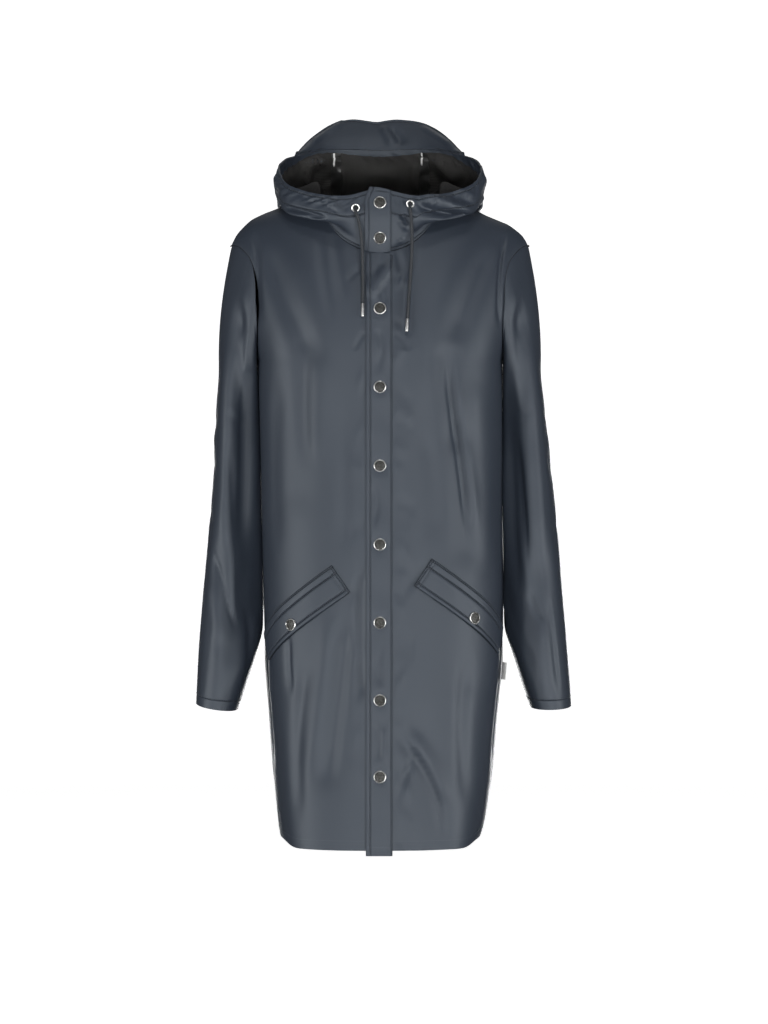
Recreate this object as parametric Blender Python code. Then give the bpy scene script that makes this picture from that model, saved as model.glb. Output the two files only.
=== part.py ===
"""Hooded raincoat, buttoned up and filled out as if worn: long body, set-in sleeves, hood folded down.

The frame: +Z up, the front faces -Y, +X is the wearer's left. The origin lies midway between the two
points where the shoulder lines meet the neck. Sizes in the tables are millimetres and become metres
when a mesh is made.
"""
import math

import bmesh
import bpy
import numpy as np
from mathutils import Matrix, Vector

MM = 0.001

# --- cloth and seams -------------------------------------------------------------------------------
WALL = 1.5              # coated knit, with the seam turnings it carries
LAYERED_WALL = 2.0      # placket, brim and pocket flaps, which are two layers
SEAM_GAP = 0.3          # between two pieces that are sewn edge to edge
LIFT = 0.35             # under a piece that lies on another

# --- body ------------------------------------------------------------------------------------------
HEM_Z = -908.0
UNDERARM_Z = -240.0
SHOULDER_TIP_X = 208.0  # the dropped end of the shoulder line, at the top of the armhole
RIDGE_Y = 5.0           # the shoulder line runs this far behind the middle of the body
NECK_HALF_WIDTH = 85.0
NECK_SIDE_Z = -3.0
FRONT_NECK_DROP = 93.0
BACK_NECK_DROP = 19.0
CHEST_ROUNDNESS = (0.60, 0.55)   # how fast the chest falls back to the shoulder: at the side, added in front
CREASE_FADE = 1.6       # how fast the creases come in as the cloth turns to the front or the back

# A row for each level: height, half_width, centre_x, front_depth, back_depth, squareness
BODY_SECTIONS = (
    (-908.0, 139.0, 0.8, 146.0, 144.0, 3.0),
    (-882.0, 143.5, 2.1, 144.0, 143.0, 2.9),
    (-826.0, 150.5, 3.5, 139.0, 140.0, 2.7),
    (-742.0, 158.2, 4.2, 133.0, 136.0, 2.6),
    (-658.0, 165.2, 5.4, 129.0, 133.0, 2.5),
    (-574.0, 167.3, 4.9, 126.0, 130.0, 2.5),
    (-462.0, 167.7, 3.1, 122.0, 127.0, 2.5),
    (-350.0, 169.0, 1.8, 119.0, 124.0, 2.6),
    (-240.0, 170.5, 0.0, 118.0, 122.0, 2.8),
)

# The shoulder line seen from the front: distance from the middle, height
SHOULDER_LINE = (
    (0.0, 29.0), (85.0, -3.0), (110.0, -12.0), (143.0, -26.0), (168.0, -36.5),
    (180.0, -43.0), (190.0, -52.0), (201.0, -65.0), (208.0, -78.0),
)

# How much lower the wearer's left shoulder hangs: x, drop
LEFT_SHOULDER_DROP = ((85.0, 0.0), (120.0, 4.0), (150.0, 7.5), (180.0, 6.0), (208.0, 0.0))

# The armhole seen from the side: height, reach from its middle line to the front or the back
ARMHOLE = (
    (-240.0, 0.0), (-237.0, 20.0), (-230.0, 36.0), (-215.0, 50.0), (-190.0, 60.0), (-160.0, 63.0),
    (-125.0, 60.0), (-105.0, 52.0), (-92.0, 41.0), (-84.0, 30.0), (-80.0, 18.0), (-78.4, 8.0), (-78.0, 0.0),
)

# Soft creases, as lines seen from the front or the back: from_x, from_z, to_x, to_z, width, depth
FRONT_FOLDS = (
    (-160.0, -75.0, -108.0, -215.0, 24.0, -6.0),     # drag line from the shoulder, wearer's right
    (158.0, -78.0, 104.0, -205.0, 24.0, -6.0),       # the same, wearer's left
    (-104.0, -250.0, -112.0, -420.0, 26.0, -6.0),    # hanging trough below the right breast
    (92.0, -240.0, 108.0, -350.0, 16.0, -8.0),       # hanging trough below the left breast
    (108.0, -350.0, 120.0, -500.0, 20.0, -9.0),
    (132.0, -300.0, 142.0, -500.0, 18.0, 5.0),       # ridge beside it
    (-52.0, -640.0, -74.0, -800.0, 22.0, -7.0),      # troughs in the skirt
    (-112.0, -710.0, -118.0, -900.0, 24.0, 5.0),
    (50.0, -740.0, 84.0, -905.0, 20.0, -6.0),
    (116.0, -710.0, 104.0, -900.0, 22.0, 6.0),
)
BACK_FOLDS = (
    (-96.0, -260.0, -78.0, -560.0, 30.0, -7.0),
    (88.0, -300.0, 102.0, -620.0, 28.0, -8.0),
    (6.0, -380.0, -4.0, -740.0, 34.0, -5.0),
    (-64.0, -620.0, -86.0, -900.0, 26.0, 7.0),
    (58.0, -600.0, 74.0, -900.0, 26.0, 7.0),
)

# Levels: -1 the hem, 0 the underarm, 1 the shoulder line. The panels' grids have rows at these levels up
# to the split, where the neck seam turns from a row's end into a column's, and at shares of what is left.
LOWER_LEVELS = tuple(-1.0 + step / 13.0 for step in range(13)) + (0.0,)
YOKE_SHARES = (0.05, 0.12, 0.22, 0.34, 0.47, 0.60, 0.74, 0.87, 1.0)
SHOULDER_SHARES = (0.30, 0.55, 0.80, 1.0)
FRONT_SPLIT = 0.58
BACK_SPLIT = 0.78
MIDDLE_SHARES = (0.0, 0.25, 0.48, 0.69, 0.86)   # columns below the neck, from the middle to the split
HOOD_SEAM_STEP = 2      # of these columns, the one where the hood's middle panel ends
SHOULDER_STEPS = 8
COLUMN_EASE = 1.5       # above 1 the columns near the neck stay upright and the outer ones give way

# --- placket ---------------------------------------------------------------------------------------
PLACKET_RIGHT_X = -19.0     # its free edge, on the wearer's right
PLACKET_LEFT_X = 17.0
FRONTS_MEET_X = 8.0         # under the placket, where the two fronts end
PLACKET_HEM_Z = -915.0
PLACKET_PEAK = 6.0          # its free corner stands this much above the rim
PLACKET_TRIM = 0.03         # of a row, off its upper end at the neck seam
PLACKET_TOP_LIFT = 0.9
PLACKET_TOP_TRIM = 0.12     # of a row, off the lower end of its part on the hood
PLACKET_TOP_EDGES = (-21.0, 15.5)
PLACKET_CLEAR_X = (24.0, 46.0)   # creases start at the first of these and are whole at the second

# --- hood, folded down: a row for each angle round the neck, 0 front, 90 wearer's left, 180 back ----
HOOD_STAND = (          # angle, x, y, z of the cloth a little above the neck seam
    (0.0, 0.0, -99.0, -82.0), (25.0, 38.0, -95.0, -75.0), (50.0, 74.0, -67.0, -37.0),
    (70.0, 86.0, -31.0, -3.0), (90.0, 88.0, 4.0, 12.0), (110.0, 84.0, 32.0, 7.0),
    (130.0, 70.0, 56.0, 3.0), (150.0, 44.0, 72.0, -4.0), (180.0, 0.0, 81.0, -5.0),
)
HOOD_LAP = (            # where it lies over the shoulder and the upper back
    (0.0, 0.0, -101.0, -66.0), (25.0, 43.0, -100.0, -62.0), (50.0, 78.0, -82.0, -50.0),
    (70.0, 103.0, -46.0, -24.0), (90.0, 115.0, 2.0, 1.0), (110.0, 111.0, 40.0, -10.0),
    (130.0, 94.0, 80.0, -34.0), (150.0, 59.0, 99.0, -52.0), (180.0, 0.0, 106.0, -60.0),
)
HOOD_ROLL = (           # the lowest fold
    (0.0, 0.0, -103.0, -48.0), (25.0, 46.0, -104.0, -49.0), (50.0, 88.0, -90.0, -50.0),
    (70.0, 124.0, -56.0, -41.0), (90.0, 143.0, -2.0, -17.0), (110.0, 138.0, 50.0, -32.0),
    (130.0, 114.0, 104.0, -82.0), (150.0, 66.0, 132.0, -112.0), (180.0, 0.0, 142.0, -122.0),
)
HOOD_SIDE = (           # half way up the outer face
    (0.0, 0.0, -103.0, -30.0), (25.0, 49.0, -103.0, -34.0), (50.0, 97.0, -86.0, -31.0),
    (70.0, 134.0, -52.0, -17.0), (90.0, 146.8, -2.0, 6.0), (110.0, 144.5, 56.0, 0.0),
    (130.0, 128.0, 106.0, -22.0), (150.0, 76.0, 146.0, -40.0), (180.0, 0.0, 158.0, -44.0),
)
HOOD_RIM = (            # the edge of the face opening
    (0.0, 0.0, -101.0, -10.0), (25.0, 51.0, -98.0, -19.0), (50.0, 100.0, -78.0, -11.0),
    (70.0, 130.5, -47.0, 5.0), (90.0, 142.5, 0.0, 31.0), (110.0, 133.5, 50.0, 50.0),
    (130.0, 112.0, 88.0, 61.0), (150.0, 76.0, 117.0, 71.0), (180.0, 0.0, 131.0, 72.0),
)
HOOD_FOOT_ROWS = (0.0, 6.0, 13.0)       # distances from the neck seam
HOOD_MIDDLE_ROWS = 8
FACING_DEPTH = 24.0                      # the last rows lie this far from the rim, half as far and on it
FACING_WALL = 1.2
FACING_RIM_GAP = 1.0
FACING_GAP_ANGLE = 14.0     # the facing stops this far from the front edges

# The stiff brim above the back of the opening: distance from the middle, height and depth of its edge
BRIM_EDGE = (
    (0.0, 117.0, 166.0), (50.0, 118.5, 164.0), (68.0, 112.5, 157.0), (86.0, 100.5, 144.0),
    (101.0, 85.5, 124.0), (112.0, 70.5, 104.0), (118.0, 62.0, 88.0), (123.0, 58.0, 76.0),
)
BRIM_HALF_ANGLE = 59.0      # of the rim that it runs along, to each side of the middle of the back
BRIM_ROWS = 4
BRIM_BOW = 4.0
BRIM_END_HEIGHT = 4.5

# --- sleeves: height, outer_left, inner_left, outer_right, inner_right, centre_y, depth --------------
SLEEVE_SECTIONS = (
    (-262.0, 226.0, 158.0, 226.5, 158.0, 13.0, 140.0),
    (-306.0, 231.0, 158.0, 229.8, 158.0, 14.0, 142.0),
    (-350.0, 235.2, 158.0, 231.7, 158.0, 15.0, 142.0),
    (-406.0, 242.2, 159.0, 234.2, 158.0, 14.0, 139.0),
    (-462.0, 247.8, 160.0, 239.4, 158.0, 11.0, 134.0),
    (-518.0, 252.0, 162.0, 243.6, 158.0, 7.0, 129.0),
    (-570.0, 256.0, 165.0, 247.6, 160.0, 1.0, 124.0),
    (-610.0, 259.0, 173.0, 250.6, 164.0, -4.0, 120.0),
    (-645.0, 261.6, 184.5, 253.0, 173.0, -8.0, 114.0),
    (-684.0, 264.6, 196.5, 255.0, 185.5, -12.0, 107.0),
    (-720.0, 266.5, 208.5, 256.5, 197.5, -16.0, 100.0),
)
SLEEVE_SQUARENESS = 2.2
SLEEVE_TILT = 0.07          # how much lower the front of each ring is than its back, for each mm of depth
CUFF_RISE = {1: 0.03, -1: 0.15}     # how much higher the cuff is at its outer side, for each mm of width
SLEEVE_HEAD_SHARES = (0.12, 0.28, 0.46, 0.64, 0.82)
SLEEVE_HEAD_BULGE = 6.0
SLEEVE_CLEARANCE = 2.2
SLEEVE_SEAM_LEAN = 0.3      # how far the sleeve's first ring leans out along the body's cloth
UNDERARM_SHARE = 0.2        # of the armhole, to each side of the underarm
SLEEVE_FOLDS = (            # as seen from the front, distance from the middle instead of x
    (196.0, -190.0, 200.0, -470.0, 15.0, -9.0),
    (216.0, -520.0, 206.0, -640.0, 13.0, -7.0),
)

# --- pocket flaps: x and z of the upper inner corner, on the wearer's left and right -----------------
FLAP_CORNERS = ((1, 70.5, -514.0), (-1, -65.5, -523.0))
FLAP_LENGTH = 168.0
FLAP_DEPTH = 45.0
FLAP_SLOPE = math.radians(34.5)
FLAP_STEPS = 14
FLAP_LIFT = 0.8             # more than under other pieces, because the flap bends round the hip
FLAP_SNAP_ALONG = 96.0
FLAP_SNAP_DOWN = 33.0

# --- hardware ----------------------------------------------------------------------------------------
SNAP_HEIGHTS = (-174.0, -281.0, -388.0, -495.0, -601.0, -706.0, -809.0)
HOOD_SNAP_HEIGHTS = (-29.0, -77.0)
SNAP_PROFILE = ((8.5, 0.0), (8.4, 1.5), (7.0, 2.3), (5.7, 1.6), (0.0, 1.9))      # radius, height
EYELET_PROFILE = ((2.7, 0.0), (5.7, 0.0), (5.3, 1.1), (4.2, 1.6), (3.1, 1.1))
TIP_PROFILE = ((2.0, 0.0), (2.5, 0.7), (2.5, 17.2), (1.9, 18.0), (0.0, 18.0))
TURNED_SIDES = 14
EYELET_CLEARANCE = 1.2      # above the hood's creased front, so that the ring clears it all round
EYELETS = (("left", 41.5, -31.0), ("right", -33.0, -36.5))
CORD_DIAMETER = 4.5
# Each cord's route below its eyelet: sideways from the eyelet, down from it
CORD_ROUTES = {
    "left": ((0.6, -14.0), (2.0, -34.0), (2.2, -56.0), (1.2, -82.0), (-0.6, -110.0), (-2.6, -136.0),
             (-4.0, -157.0)),
    "right": ((2.5, -13.0), (6.4, -30.0), (8.6, -50.0), (9.6, -76.0), (9.8, -104.0), (9.6, -131.0)),
}
CORD_EXIT_BEND = ((0.0, 0.0), (3.4, 0.6), (6.4, 2.6), (8.6, 6.2))    # out from the eyelet, down from it
CORD_FALL_BACK = 0.05       # how fast the cord swings back to the chest below the bend
CORD_REST_GAP = 0.6
CORD_POINT_SPACING = 9.0

# --- side label: height of its middle, width and height -----------------------------------------------
LABEL_Z = -672.0
LABEL_WIDTH = 9.0
LABEL_HEIGHT = 24.0
LABEL_WALL = 1.0
LABEL_ANGLE = 83.0
LABEL_REACH = 128.0         # from the body's middle line to the side seam beside the label

COLOURS = {     # base colour, roughness, metallic
    "coated_cloth": ((0.045, 0.055, 0.072), 0.42, 0.0),
    "knit": ((0.012, 0.012, 0.012), 0.9, 0.0),
    "metal": ((0.42, 0.42, 0.43), 0.3, 1.0),
    "cord": ((0.05, 0.058, 0.07), 0.8, 0.0),
    "label": ((0.8, 0.8, 0.8), 0.7, 0.0),
}


def smooth(at, table_x, table_y):
    """Value of a smooth curve through the table's points, held level past its ends."""
    table_x, table_y = np.asarray(table_x, float), np.asarray(table_y, float)
    at = np.clip(np.asarray(at, float), table_x[0], table_x[-1])
    slopes = np.gradient(table_y, table_x)
    index = np.clip(np.searchsorted(table_x, at, side="right") - 1, 0, len(table_x) - 2)
    span = table_x[index + 1] - table_x[index]
    share = (at - table_x[index]) / span
    from_start = (1 + 2 * share) * (1 - share) ** 2 * table_y[index]
    to_end = share ** 2 * (3 - 2 * share) * table_y[index + 1]
    bend_start = share * (1 - share) ** 2 * slopes[index] * span
    bend_end = share ** 2 * (share - 1) * slopes[index + 1] * span
    return from_start + to_end + bend_start + bend_end


def column(table, number):
    """One column of a table of rows."""
    return [row[number] for row in table]


def body_section(height):
    """Half width, centre, front and back depth and squareness of the body at a height."""
    heights = column(BODY_SECTIONS, 0)
    return [smooth(height, heights, column(BODY_SECTIONS, number)) for number in range(1, 6)]


def body_point(angle, level):
    """Point on the outer face of the smooth body.

    Angle 0 is the front, 90 the wearer's left and 180 the back. Level -1 is the hem, 0 the underarm
    and 1 the shoulder line; past 1 the point is on the other side of the shoulder line.
    """
    angle, level = np.broadcast_arrays(np.asarray(angle, float), np.asarray(level, float))
    over = level > 1.0
    angle = np.where(over, 180.0 - angle, angle)
    level = np.where(over, 2.0 - level, level)
    sine, cosine = np.sin(np.radians(angle)), np.cos(np.radians(angle))
    low_z = UNDERARM_Z + np.minimum(level, 0.0) * (UNDERARM_Z - HEM_Z)
    half, centre, front, back, square = body_section(low_z)
    reach = (np.abs(sine) ** square + np.abs(cosine) ** square) ** (1.0 / square)
    x = half * sine / reach
    y = -np.where(cosine > 0.0, front, back) * cosine / reach
    rise = np.radians(90.0 * np.clip(level, 0.0, 1.0))
    ridge_x = x * SHOULDER_TIP_X / half
    ridge_z = smooth(np.abs(ridge_x), column(SHOULDER_LINE, 0), column(SHOULDER_LINE, 1))
    ridge_z = ridge_z - smooth(ridge_x, column(LEFT_SHOULDER_DROP, 0), column(LEFT_SHOULDER_DROP, 1))
    up = np.sin(rise)
    roundness = CHEST_ROUNDNESS[0] + CHEST_ROUNDNESS[1] * cosine ** 2
    back_to_ridge = np.maximum(np.cos(rise), 0.0) ** roundness
    x = x + (ridge_x - x) * up + centre
    y = RIDGE_Y + (y - RIDGE_Y) * back_to_ridge
    z = low_z + (ridge_z - low_z) * up
    return np.stack(np.broadcast_arrays(x, y, z), axis=-1)


def across(step_a, step_b):
    """Unit vector square to two directions."""
    normal = np.cross(step_a, step_b)
    return normal / np.maximum(np.linalg.norm(normal, axis=-1, keepdims=True), 1e-9)


def fold_height(folds, x, z):
    """How far the creases move the cloth out at a place seen from the front or the back."""
    moved = np.zeros(np.broadcast(x, z).shape)
    for from_x, from_z, to_x, to_z, width, depth in folds:
        run_x, run_z = to_x - from_x, to_z - from_z
        along = ((x - from_x) * run_x + (z - from_z) * run_z) / (run_x ** 2 + run_z ** 2)
        along = np.clip(along, 0.0, 1.0)
        away = np.hypot(x - from_x - along * run_x, z - from_z - along * run_z)
        moved = moved + depth * np.exp(-(away / width) ** 2)
    return moved


def cloth_point(angle, level):
    """Point on the outer face of the body's cloth, with its creases, which die out at the placket."""
    here = body_point(angle, level)
    step_angle = body_point(angle + 0.4, level) - body_point(angle - 0.4, level)
    step_level = body_point(angle, level + 0.004) - body_point(angle, level - 0.004)
    normal = across(step_angle, step_level)
    x, z = here[..., 0], here[..., 2]
    facing = np.clip(-normal[..., 1:2] * CREASE_FADE, -1.0, 1.0)
    bare_x, whole_x = PLACKET_CLEAR_X
    off_placket = np.clip((np.abs(x) - bare_x) / (whole_x - bare_x), 0.0, 1.0)
    front = (fold_height(FRONT_FOLDS, x, z) * off_placket)[..., None] * np.maximum(facing, 0.0)
    back = fold_height(BACK_FOLDS, x, z)[..., None] * np.maximum(-facing, 0.0)
    return here + normal * (front + back)


def cloth_frame(angle, level):
    """Points on the body's cloth and the outward direction at each."""
    angle, level = np.broadcast_arrays(np.asarray(angle, float), np.asarray(level, float))
    step_angle = cloth_point(angle + 0.5, level) - cloth_point(angle - 0.5, level)
    step_level = cloth_point(angle, level + 0.005) - cloth_point(angle, level - 0.005)
    return cloth_point(angle, level), across(step_angle, step_level)


def first_crossing(values, places):
    """Place where the values first reach zero from below, or the last place."""
    above = np.nonzero(values >= 0.0)[0]
    if len(above) == 0:
        return places[-1]
    index = above[0]
    if index == 0:
        return places[0]
    share = values[index - 1] / (values[index - 1] - values[index])
    return places[index - 1] + share * (places[index] - places[index - 1])


def armhole_angle(level):
    """Angle of the front half of the armhole at a level."""
    if level <= 0.0 or level >= 1.0:
        return 90.0
    angles = np.linspace(90.0, 25.0, 600)
    points = body_point(angles, level)
    reach = np.abs(points[:, 1] - points[0, 1])
    wanted = smooth(points[:, 2], column(ARMHOLE, 0), column(ARMHOLE, 1))
    return float(first_crossing(reach - wanted, angles))


def neck_oval(points, drop):
    """Under 1 inside the neck seam, as seen from the front, and over 1 outside it."""
    below = np.minimum(points[..., 2] - NECK_SIDE_Z, 0.0)
    return (points[..., 0] / NECK_HALF_WIDTH) ** 2 + (below / drop) ** 2


def neck_level(angle, drop):
    """Level of the neck seam at an angle."""
    levels = np.linspace(0.02, 1.0, 500)
    return float(first_crossing(1.0 - neck_oval(body_point(angle, levels), drop), levels))


def neck_turn(level, drop, middle):
    """How far round from the middle of the front or the back the neck seam is at a level."""
    turns = np.linspace(1.0, 45.0, 500)
    points = body_point(np.abs(middle - turns), level)
    return float(first_crossing(neck_oval(points, drop) - 1.0, turns))


def front_angle(x, level):
    """Angle in front at which the body has this x."""
    low_z = UNDERARM_Z + min(level, 0.0) * (UNDERARM_Z - HEM_Z)
    half, centre, _, _, _ = body_section(low_z)
    widening = 1.0 + (SHOULDER_TIP_X / half - 1.0) * math.sin(math.radians(90.0 * max(level, 0.0)))
    return math.degrees(math.atan((x - centre) / (half * widening)))


def panel_levels(split_level):
    """Levels of a panel's rows."""
    yoke = [split_level * share for share in YOKE_SHARES]
    shoulder = [split_level + (1.0 - split_level) * share for share in SHOULDER_SHARES]
    return list(LOWER_LEVELS) + yoke + shoulder


SPLIT_ROW = len(LOWER_LEVELS) + len(YOKE_SHARES) - 1
SPLIT_COLUMN = len(MIDDLE_SHARES)


def below_neck(level, split_level, top):
    """Level of a row in a column that ends at the neck seam."""
    return level if level <= 0.0 else min(level, split_level) / split_level * top


def quarter_places(middle, drop, split_level, start_turn):
    """Turn from the middle and level of each grid point of half a panel, from its middle to its side.

    start_turn gives the turn of the first column at a level.
    """
    split = neck_turn(split_level, drop, middle)
    start = start_turn(neck_level(middle, drop))
    tops = [neck_level(abs(middle - start - share * (split - start)), drop) for share in MIDDLE_SHARES]
    turns, levels = [], []
    for level in panel_levels(split_level):
        row_levels = [below_neck(level, split_level, top) for top in tops]
        starts = [start_turn(here) for here in row_levels]
        row_turns = [start + share * (split - start) for share, start in zip(MIDDLE_SHARES, starts)]
        border = neck_turn(level, drop, middle) if level > split_level else split
        armhole = armhole_angle(level)
        for step in range(SHOULDER_STEPS + 1):
            share = step / SHOULDER_STEPS
            row_turns.append(border + (90.0 - border) * share - (90.0 - armhole) * share ** COLUMN_EASE)
            row_levels.append(level)
        turns.append(row_turns)
        levels.append(row_levels)
    return np.array(turns), np.array(levels)


def panel_cells(columns, under_neck):
    """Which cells a panel has: none above the split in the columns under the neck."""
    cells = np.ones((len(panel_levels(FRONT_SPLIT)) - 1, columns - 1), bool)
    cells[SPLIT_ROW:, under_neck] = False
    return cells


def front_panel_places(side):
    """Angle and level of each grid point of one front, from the middle to the side, and its cells.

    Side 1 is the wearer's left. The right front runs on under the placket to where the left one ends.
    """
    turns, levels = quarter_places(0.0, FRONT_NECK_DROP, FRONT_SPLIT,
                                   lambda level: side * front_angle(FRONTS_MEET_X, level))
    return side * turns, levels, panel_cells(turns.shape[1], slice(0, SPLIT_COLUMN))


def back_panel_places():
    """Angle and level of each grid point of the back, from the wearer's left to the right, and its cells."""
    turns, levels = quarter_places(180.0, BACK_NECK_DROP, BACK_SPLIT, lambda level: 0.0)
    middle = turns.shape[1] - 1
    angles = 180.0 + np.concatenate([-turns[:, ::-1], turns[:, 1:]], axis=1)
    levels = np.concatenate([levels[:, ::-1], levels[:, 1:]], axis=1)
    cells = panel_cells(angles.shape[1], slice(middle - SPLIT_COLUMN, middle + SPLIT_COLUMN))
    return angles, levels, cells


def neck_seam(turned, levels):
    """Angles and levels along the neck seam of a quarter, from the middle to the shoulder."""
    along = [(turned[SPLIT_ROW, column], levels[SPLIT_ROW, column]) for column in range(SPLIT_COLUMN)]
    upper_rows = range(SPLIT_ROW, len(levels))
    along += [(turned[row, SPLIT_COLUMN], levels[row, SPLIT_COLUMN]) for row in upper_rows]
    return np.array(along)


def cell_corners(cells, columns):
    """Numbers of the four corners of each cell, in order round it."""
    quads = []
    for row, column_number in zip(*np.nonzero(cells)):
        after = (column_number + 1) % columns
        low, high = row * columns, (row + 1) * columns
        quads.append((low + column_number, low + after, high + after, high + column_number))
    return quads


def border_edges(quads):
    """Edges that only one cell has, in the direction in which it has them."""
    directed = {(quad[corner], quad[(corner + 1) % 4]) for quad in quads for corner in range(4)}
    return sorted(edge for edge in directed if edge[::-1] not in directed)


def whole_grid(points, closed=False):
    """Cells of a grid that has them all."""
    rows, columns = points.shape[:2]
    return np.ones((rows - 1, columns if closed else columns - 1), bool)


def inset(points, normals, amount, cells):
    """Grid with its border drawn in along the cloth by a small amount."""
    flat = points.reshape(-1, 3)
    quads = cell_corners(cells, points.shape[1])
    along = np.zeros_like(flat)
    for start, end in border_edges(quads):
        step = flat[end] - flat[start]
        step = step / np.linalg.norm(step)
        along[start] += step
        along[end] += step
    corner, beside, _, above = quads[0]
    outward = normals.reshape(-1, 3)
    facing = np.dot(np.cross(flat[beside] - flat[corner], flat[above] - flat[corner]), outward[corner])
    inward = np.cross(outward, along) * np.sign(facing)
    inward /= np.maximum(np.linalg.norm(inward, axis=1, keepdims=True), 1e-9)
    return (flat + amount * inward).reshape(points.shape)


def grid_normals(points, closed=False):
    """Outward directions of a grid whose columns run on to the wearer's left and rows run up."""
    step_row = np.gradient(points, axis=0)
    if closed:
        step_column = np.roll(points, -1, axis=1) - np.roll(points, 1, axis=1)
    else:
        step_column = np.gradient(points, axis=1)
    return across(step_column, step_row)


def new_material(name):
    """Material of one of the listed finishes."""
    colour, roughness, metallic = COLOURS[name]
    material = bpy.data.materials.new(name)
    material.use_nodes = True
    shader = material.node_tree.nodes["Principled BSDF"]
    shader.inputs["Base Color"].default_value = (*colour, 1.0)
    shader.inputs["Roughness"].default_value = roughness
    shader.inputs["Metallic"].default_value = metallic
    return material


def add_mesh(name, vertices, faces, finish):
    """Object from vertices in millimetres, its faces turned outward."""
    mesh = bpy.data.meshes.new(name)
    mesh.from_pydata([tuple(float(value) * MM for value in vertex) for vertex in vertices], [], faces)
    shape = bmesh.new()
    shape.from_mesh(mesh)
    bmesh.ops.recalc_face_normals(shape, faces=shape.faces)
    shape.to_mesh(mesh)
    shape.free()
    mesh.shade_smooth()
    mesh.set_sharp_from_angle(angle=math.radians(50.0))
    item = bpy.data.objects.new(name, mesh)
    item.data.materials.append(new_material(finish))
    bpy.context.scene.collection.objects.link(item)
    return item


def split_quad(points, quad):
    """Two triangles of a quad, split along its shorter diagonal."""
    first, second, third, fourth = quad
    across_first = np.linalg.norm(points[first] - points[third])
    if across_first <= np.linalg.norm(points[second] - points[fourth]):
        return [(first, second, third), (first, third, fourth)]
    return [(first, second, fourth), (second, third, fourth)]


def add_wall(name, outer, normals, thickness, finish, cells=None, closed=False):
    """Closed cloth wall behind a grid of outer points; a closed grid makes a tube."""
    if cells is None:
        cells = whole_grid(outer, closed)
    quads = cell_corners(cells, outer.shape[1])
    used = sorted({corner for quad in quads for corner in quad})
    number = {corner: index for index, corner in enumerate(used)}
    outside = outer.reshape(-1, 3)[used]
    inside = (outer - normals * thickness).reshape(-1, 3)[used]
    offset = len(used)
    faces = []
    for quad in quads:
        for triangle in split_quad(outside, [number[corner] for corner in quad]):
            faces.append(triangle)
            faces.append(tuple(corner + offset for corner in reversed(triangle)))
    for start, end in border_edges(quads):
        start, end = number[start], number[end]
        faces.append((end, start, start + offset, end + offset))
    return add_mesh(name, np.concatenate([outside, inside]), faces, finish)


def add_panel(name, places):
    """One panel of the body, its edges drawn in by half a seam's gap."""
    angles, levels, cells = places
    points, normals = cloth_frame(angles, levels)
    add_wall(name, inset(points, normals, SEAM_GAP / 2, cells), normals, WALL, "coated_cloth", cells)


def make_body():
    """The two fronts and the back."""
    add_panel("front_left", front_panel_places(1))
    add_panel("front_right", front_panel_places(-1))
    add_panel("back", back_panel_places())


def lifted_strip(angles, levels, lift, thickness):
    """Outer points and normals of a strip that lies on the body's cloth."""
    points, normals = cloth_frame(angles, levels)
    return points + normals * (lift + thickness), normals


def make_placket():
    """The snap placket below the neck seam, over both fronts."""
    top = neck_level(0.0, FRONT_NECK_DROP)
    below_hem = -1.0 + (PLACKET_HEM_Z - HEM_Z) / (UNDERARM_Z - HEM_Z)
    body_rows = panel_levels(FRONT_SPLIT)[:SPLIT_ROW + 1]
    levels = [below_hem] + [below_neck(level, FRONT_SPLIT, top) for level in body_rows]
    places_x = np.linspace(PLACKET_RIGHT_X, PLACKET_LEFT_X, 4)
    angles = np.array([[front_angle(x, level) for x in places_x] for level in levels])
    rows = np.array(levels)[:, None] * np.ones(len(places_x))
    outer, normals = lifted_strip(angles, rows, LIFT, LAYERED_WALL)
    outer[-1] -= (outer[-1] - outer[-2]) * PLACKET_TRIM
    add_wall("placket", outer, normals, LAYERED_WALL, "coated_cloth")


def hood_loop(table, angles):
    """Points of one named loop of the hood at any angles, the same on both sides."""
    around = column(table, 0)
    rows = [(-row[0], -row[1], row[2], row[3]) for row in reversed(table[1:4])]
    rows += [tuple(row) for row in table]
    rows += [(360.0 - row[0], -row[1], row[2], row[3]) for row in reversed(table[-4:-1])]
    turned = np.abs(angles)
    side = np.where(angles < 0.0, -1.0, 1.0)
    values = [smooth(turned, column(rows, 0), column(rows, number)) for number in (1, 2, 3)]
    return np.stack([values[0] * side, values[1], values[2]], axis=-1)


def hood_angle(point, middle):
    """Angle round the neck of a point on the neck seam, given the seam's middle point in front or behind."""
    reach = abs(point[1] - RIDGE_Y) / abs(middle[1] - RIDGE_Y)
    turned = math.degrees(math.atan2(abs(point[0]) / NECK_HALF_WIDTH, reach))
    return math.copysign(turned if middle[1] < RIDGE_Y else 180.0 - turned, point[0])


def hood_profiles(neck_points, angles):
    """Fine profiles of the hood from the neck seam to the rim, one for each angle."""
    start = neck_points + np.array([0.0, 0.0, SEAM_GAP])
    loops = [start] + [hood_loop(table, angles) for table in
                       (HOOD_STAND, HOOD_LAP, HOOD_ROLL, HOOD_SIDE, HOOD_RIM)]
    knots = np.arange(len(loops), dtype=float)
    fine = np.linspace(0.0, knots[-1], 121)
    stacked = np.stack(loops)
    profiles = np.empty((len(fine), len(angles), 3))
    for index in range(len(angles)):
        for axis in range(3):
            profiles[:, index, axis] = smooth(fine, knots, stacked[:, index, axis])
    return profiles


def along_profile(profile, distances):
    """Points at distances along one profile, and its length."""
    steps = np.linalg.norm(np.diff(profile, axis=0), axis=1)
    travelled = np.concatenate([[0.0], np.cumsum(steps)])
    places = np.clip(distances, 0.0, travelled[-1])
    points = [np.interp(places, travelled, profile[:, axis]) for axis in range(3)]
    return np.stack(points, axis=-1), travelled[-1]


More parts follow.
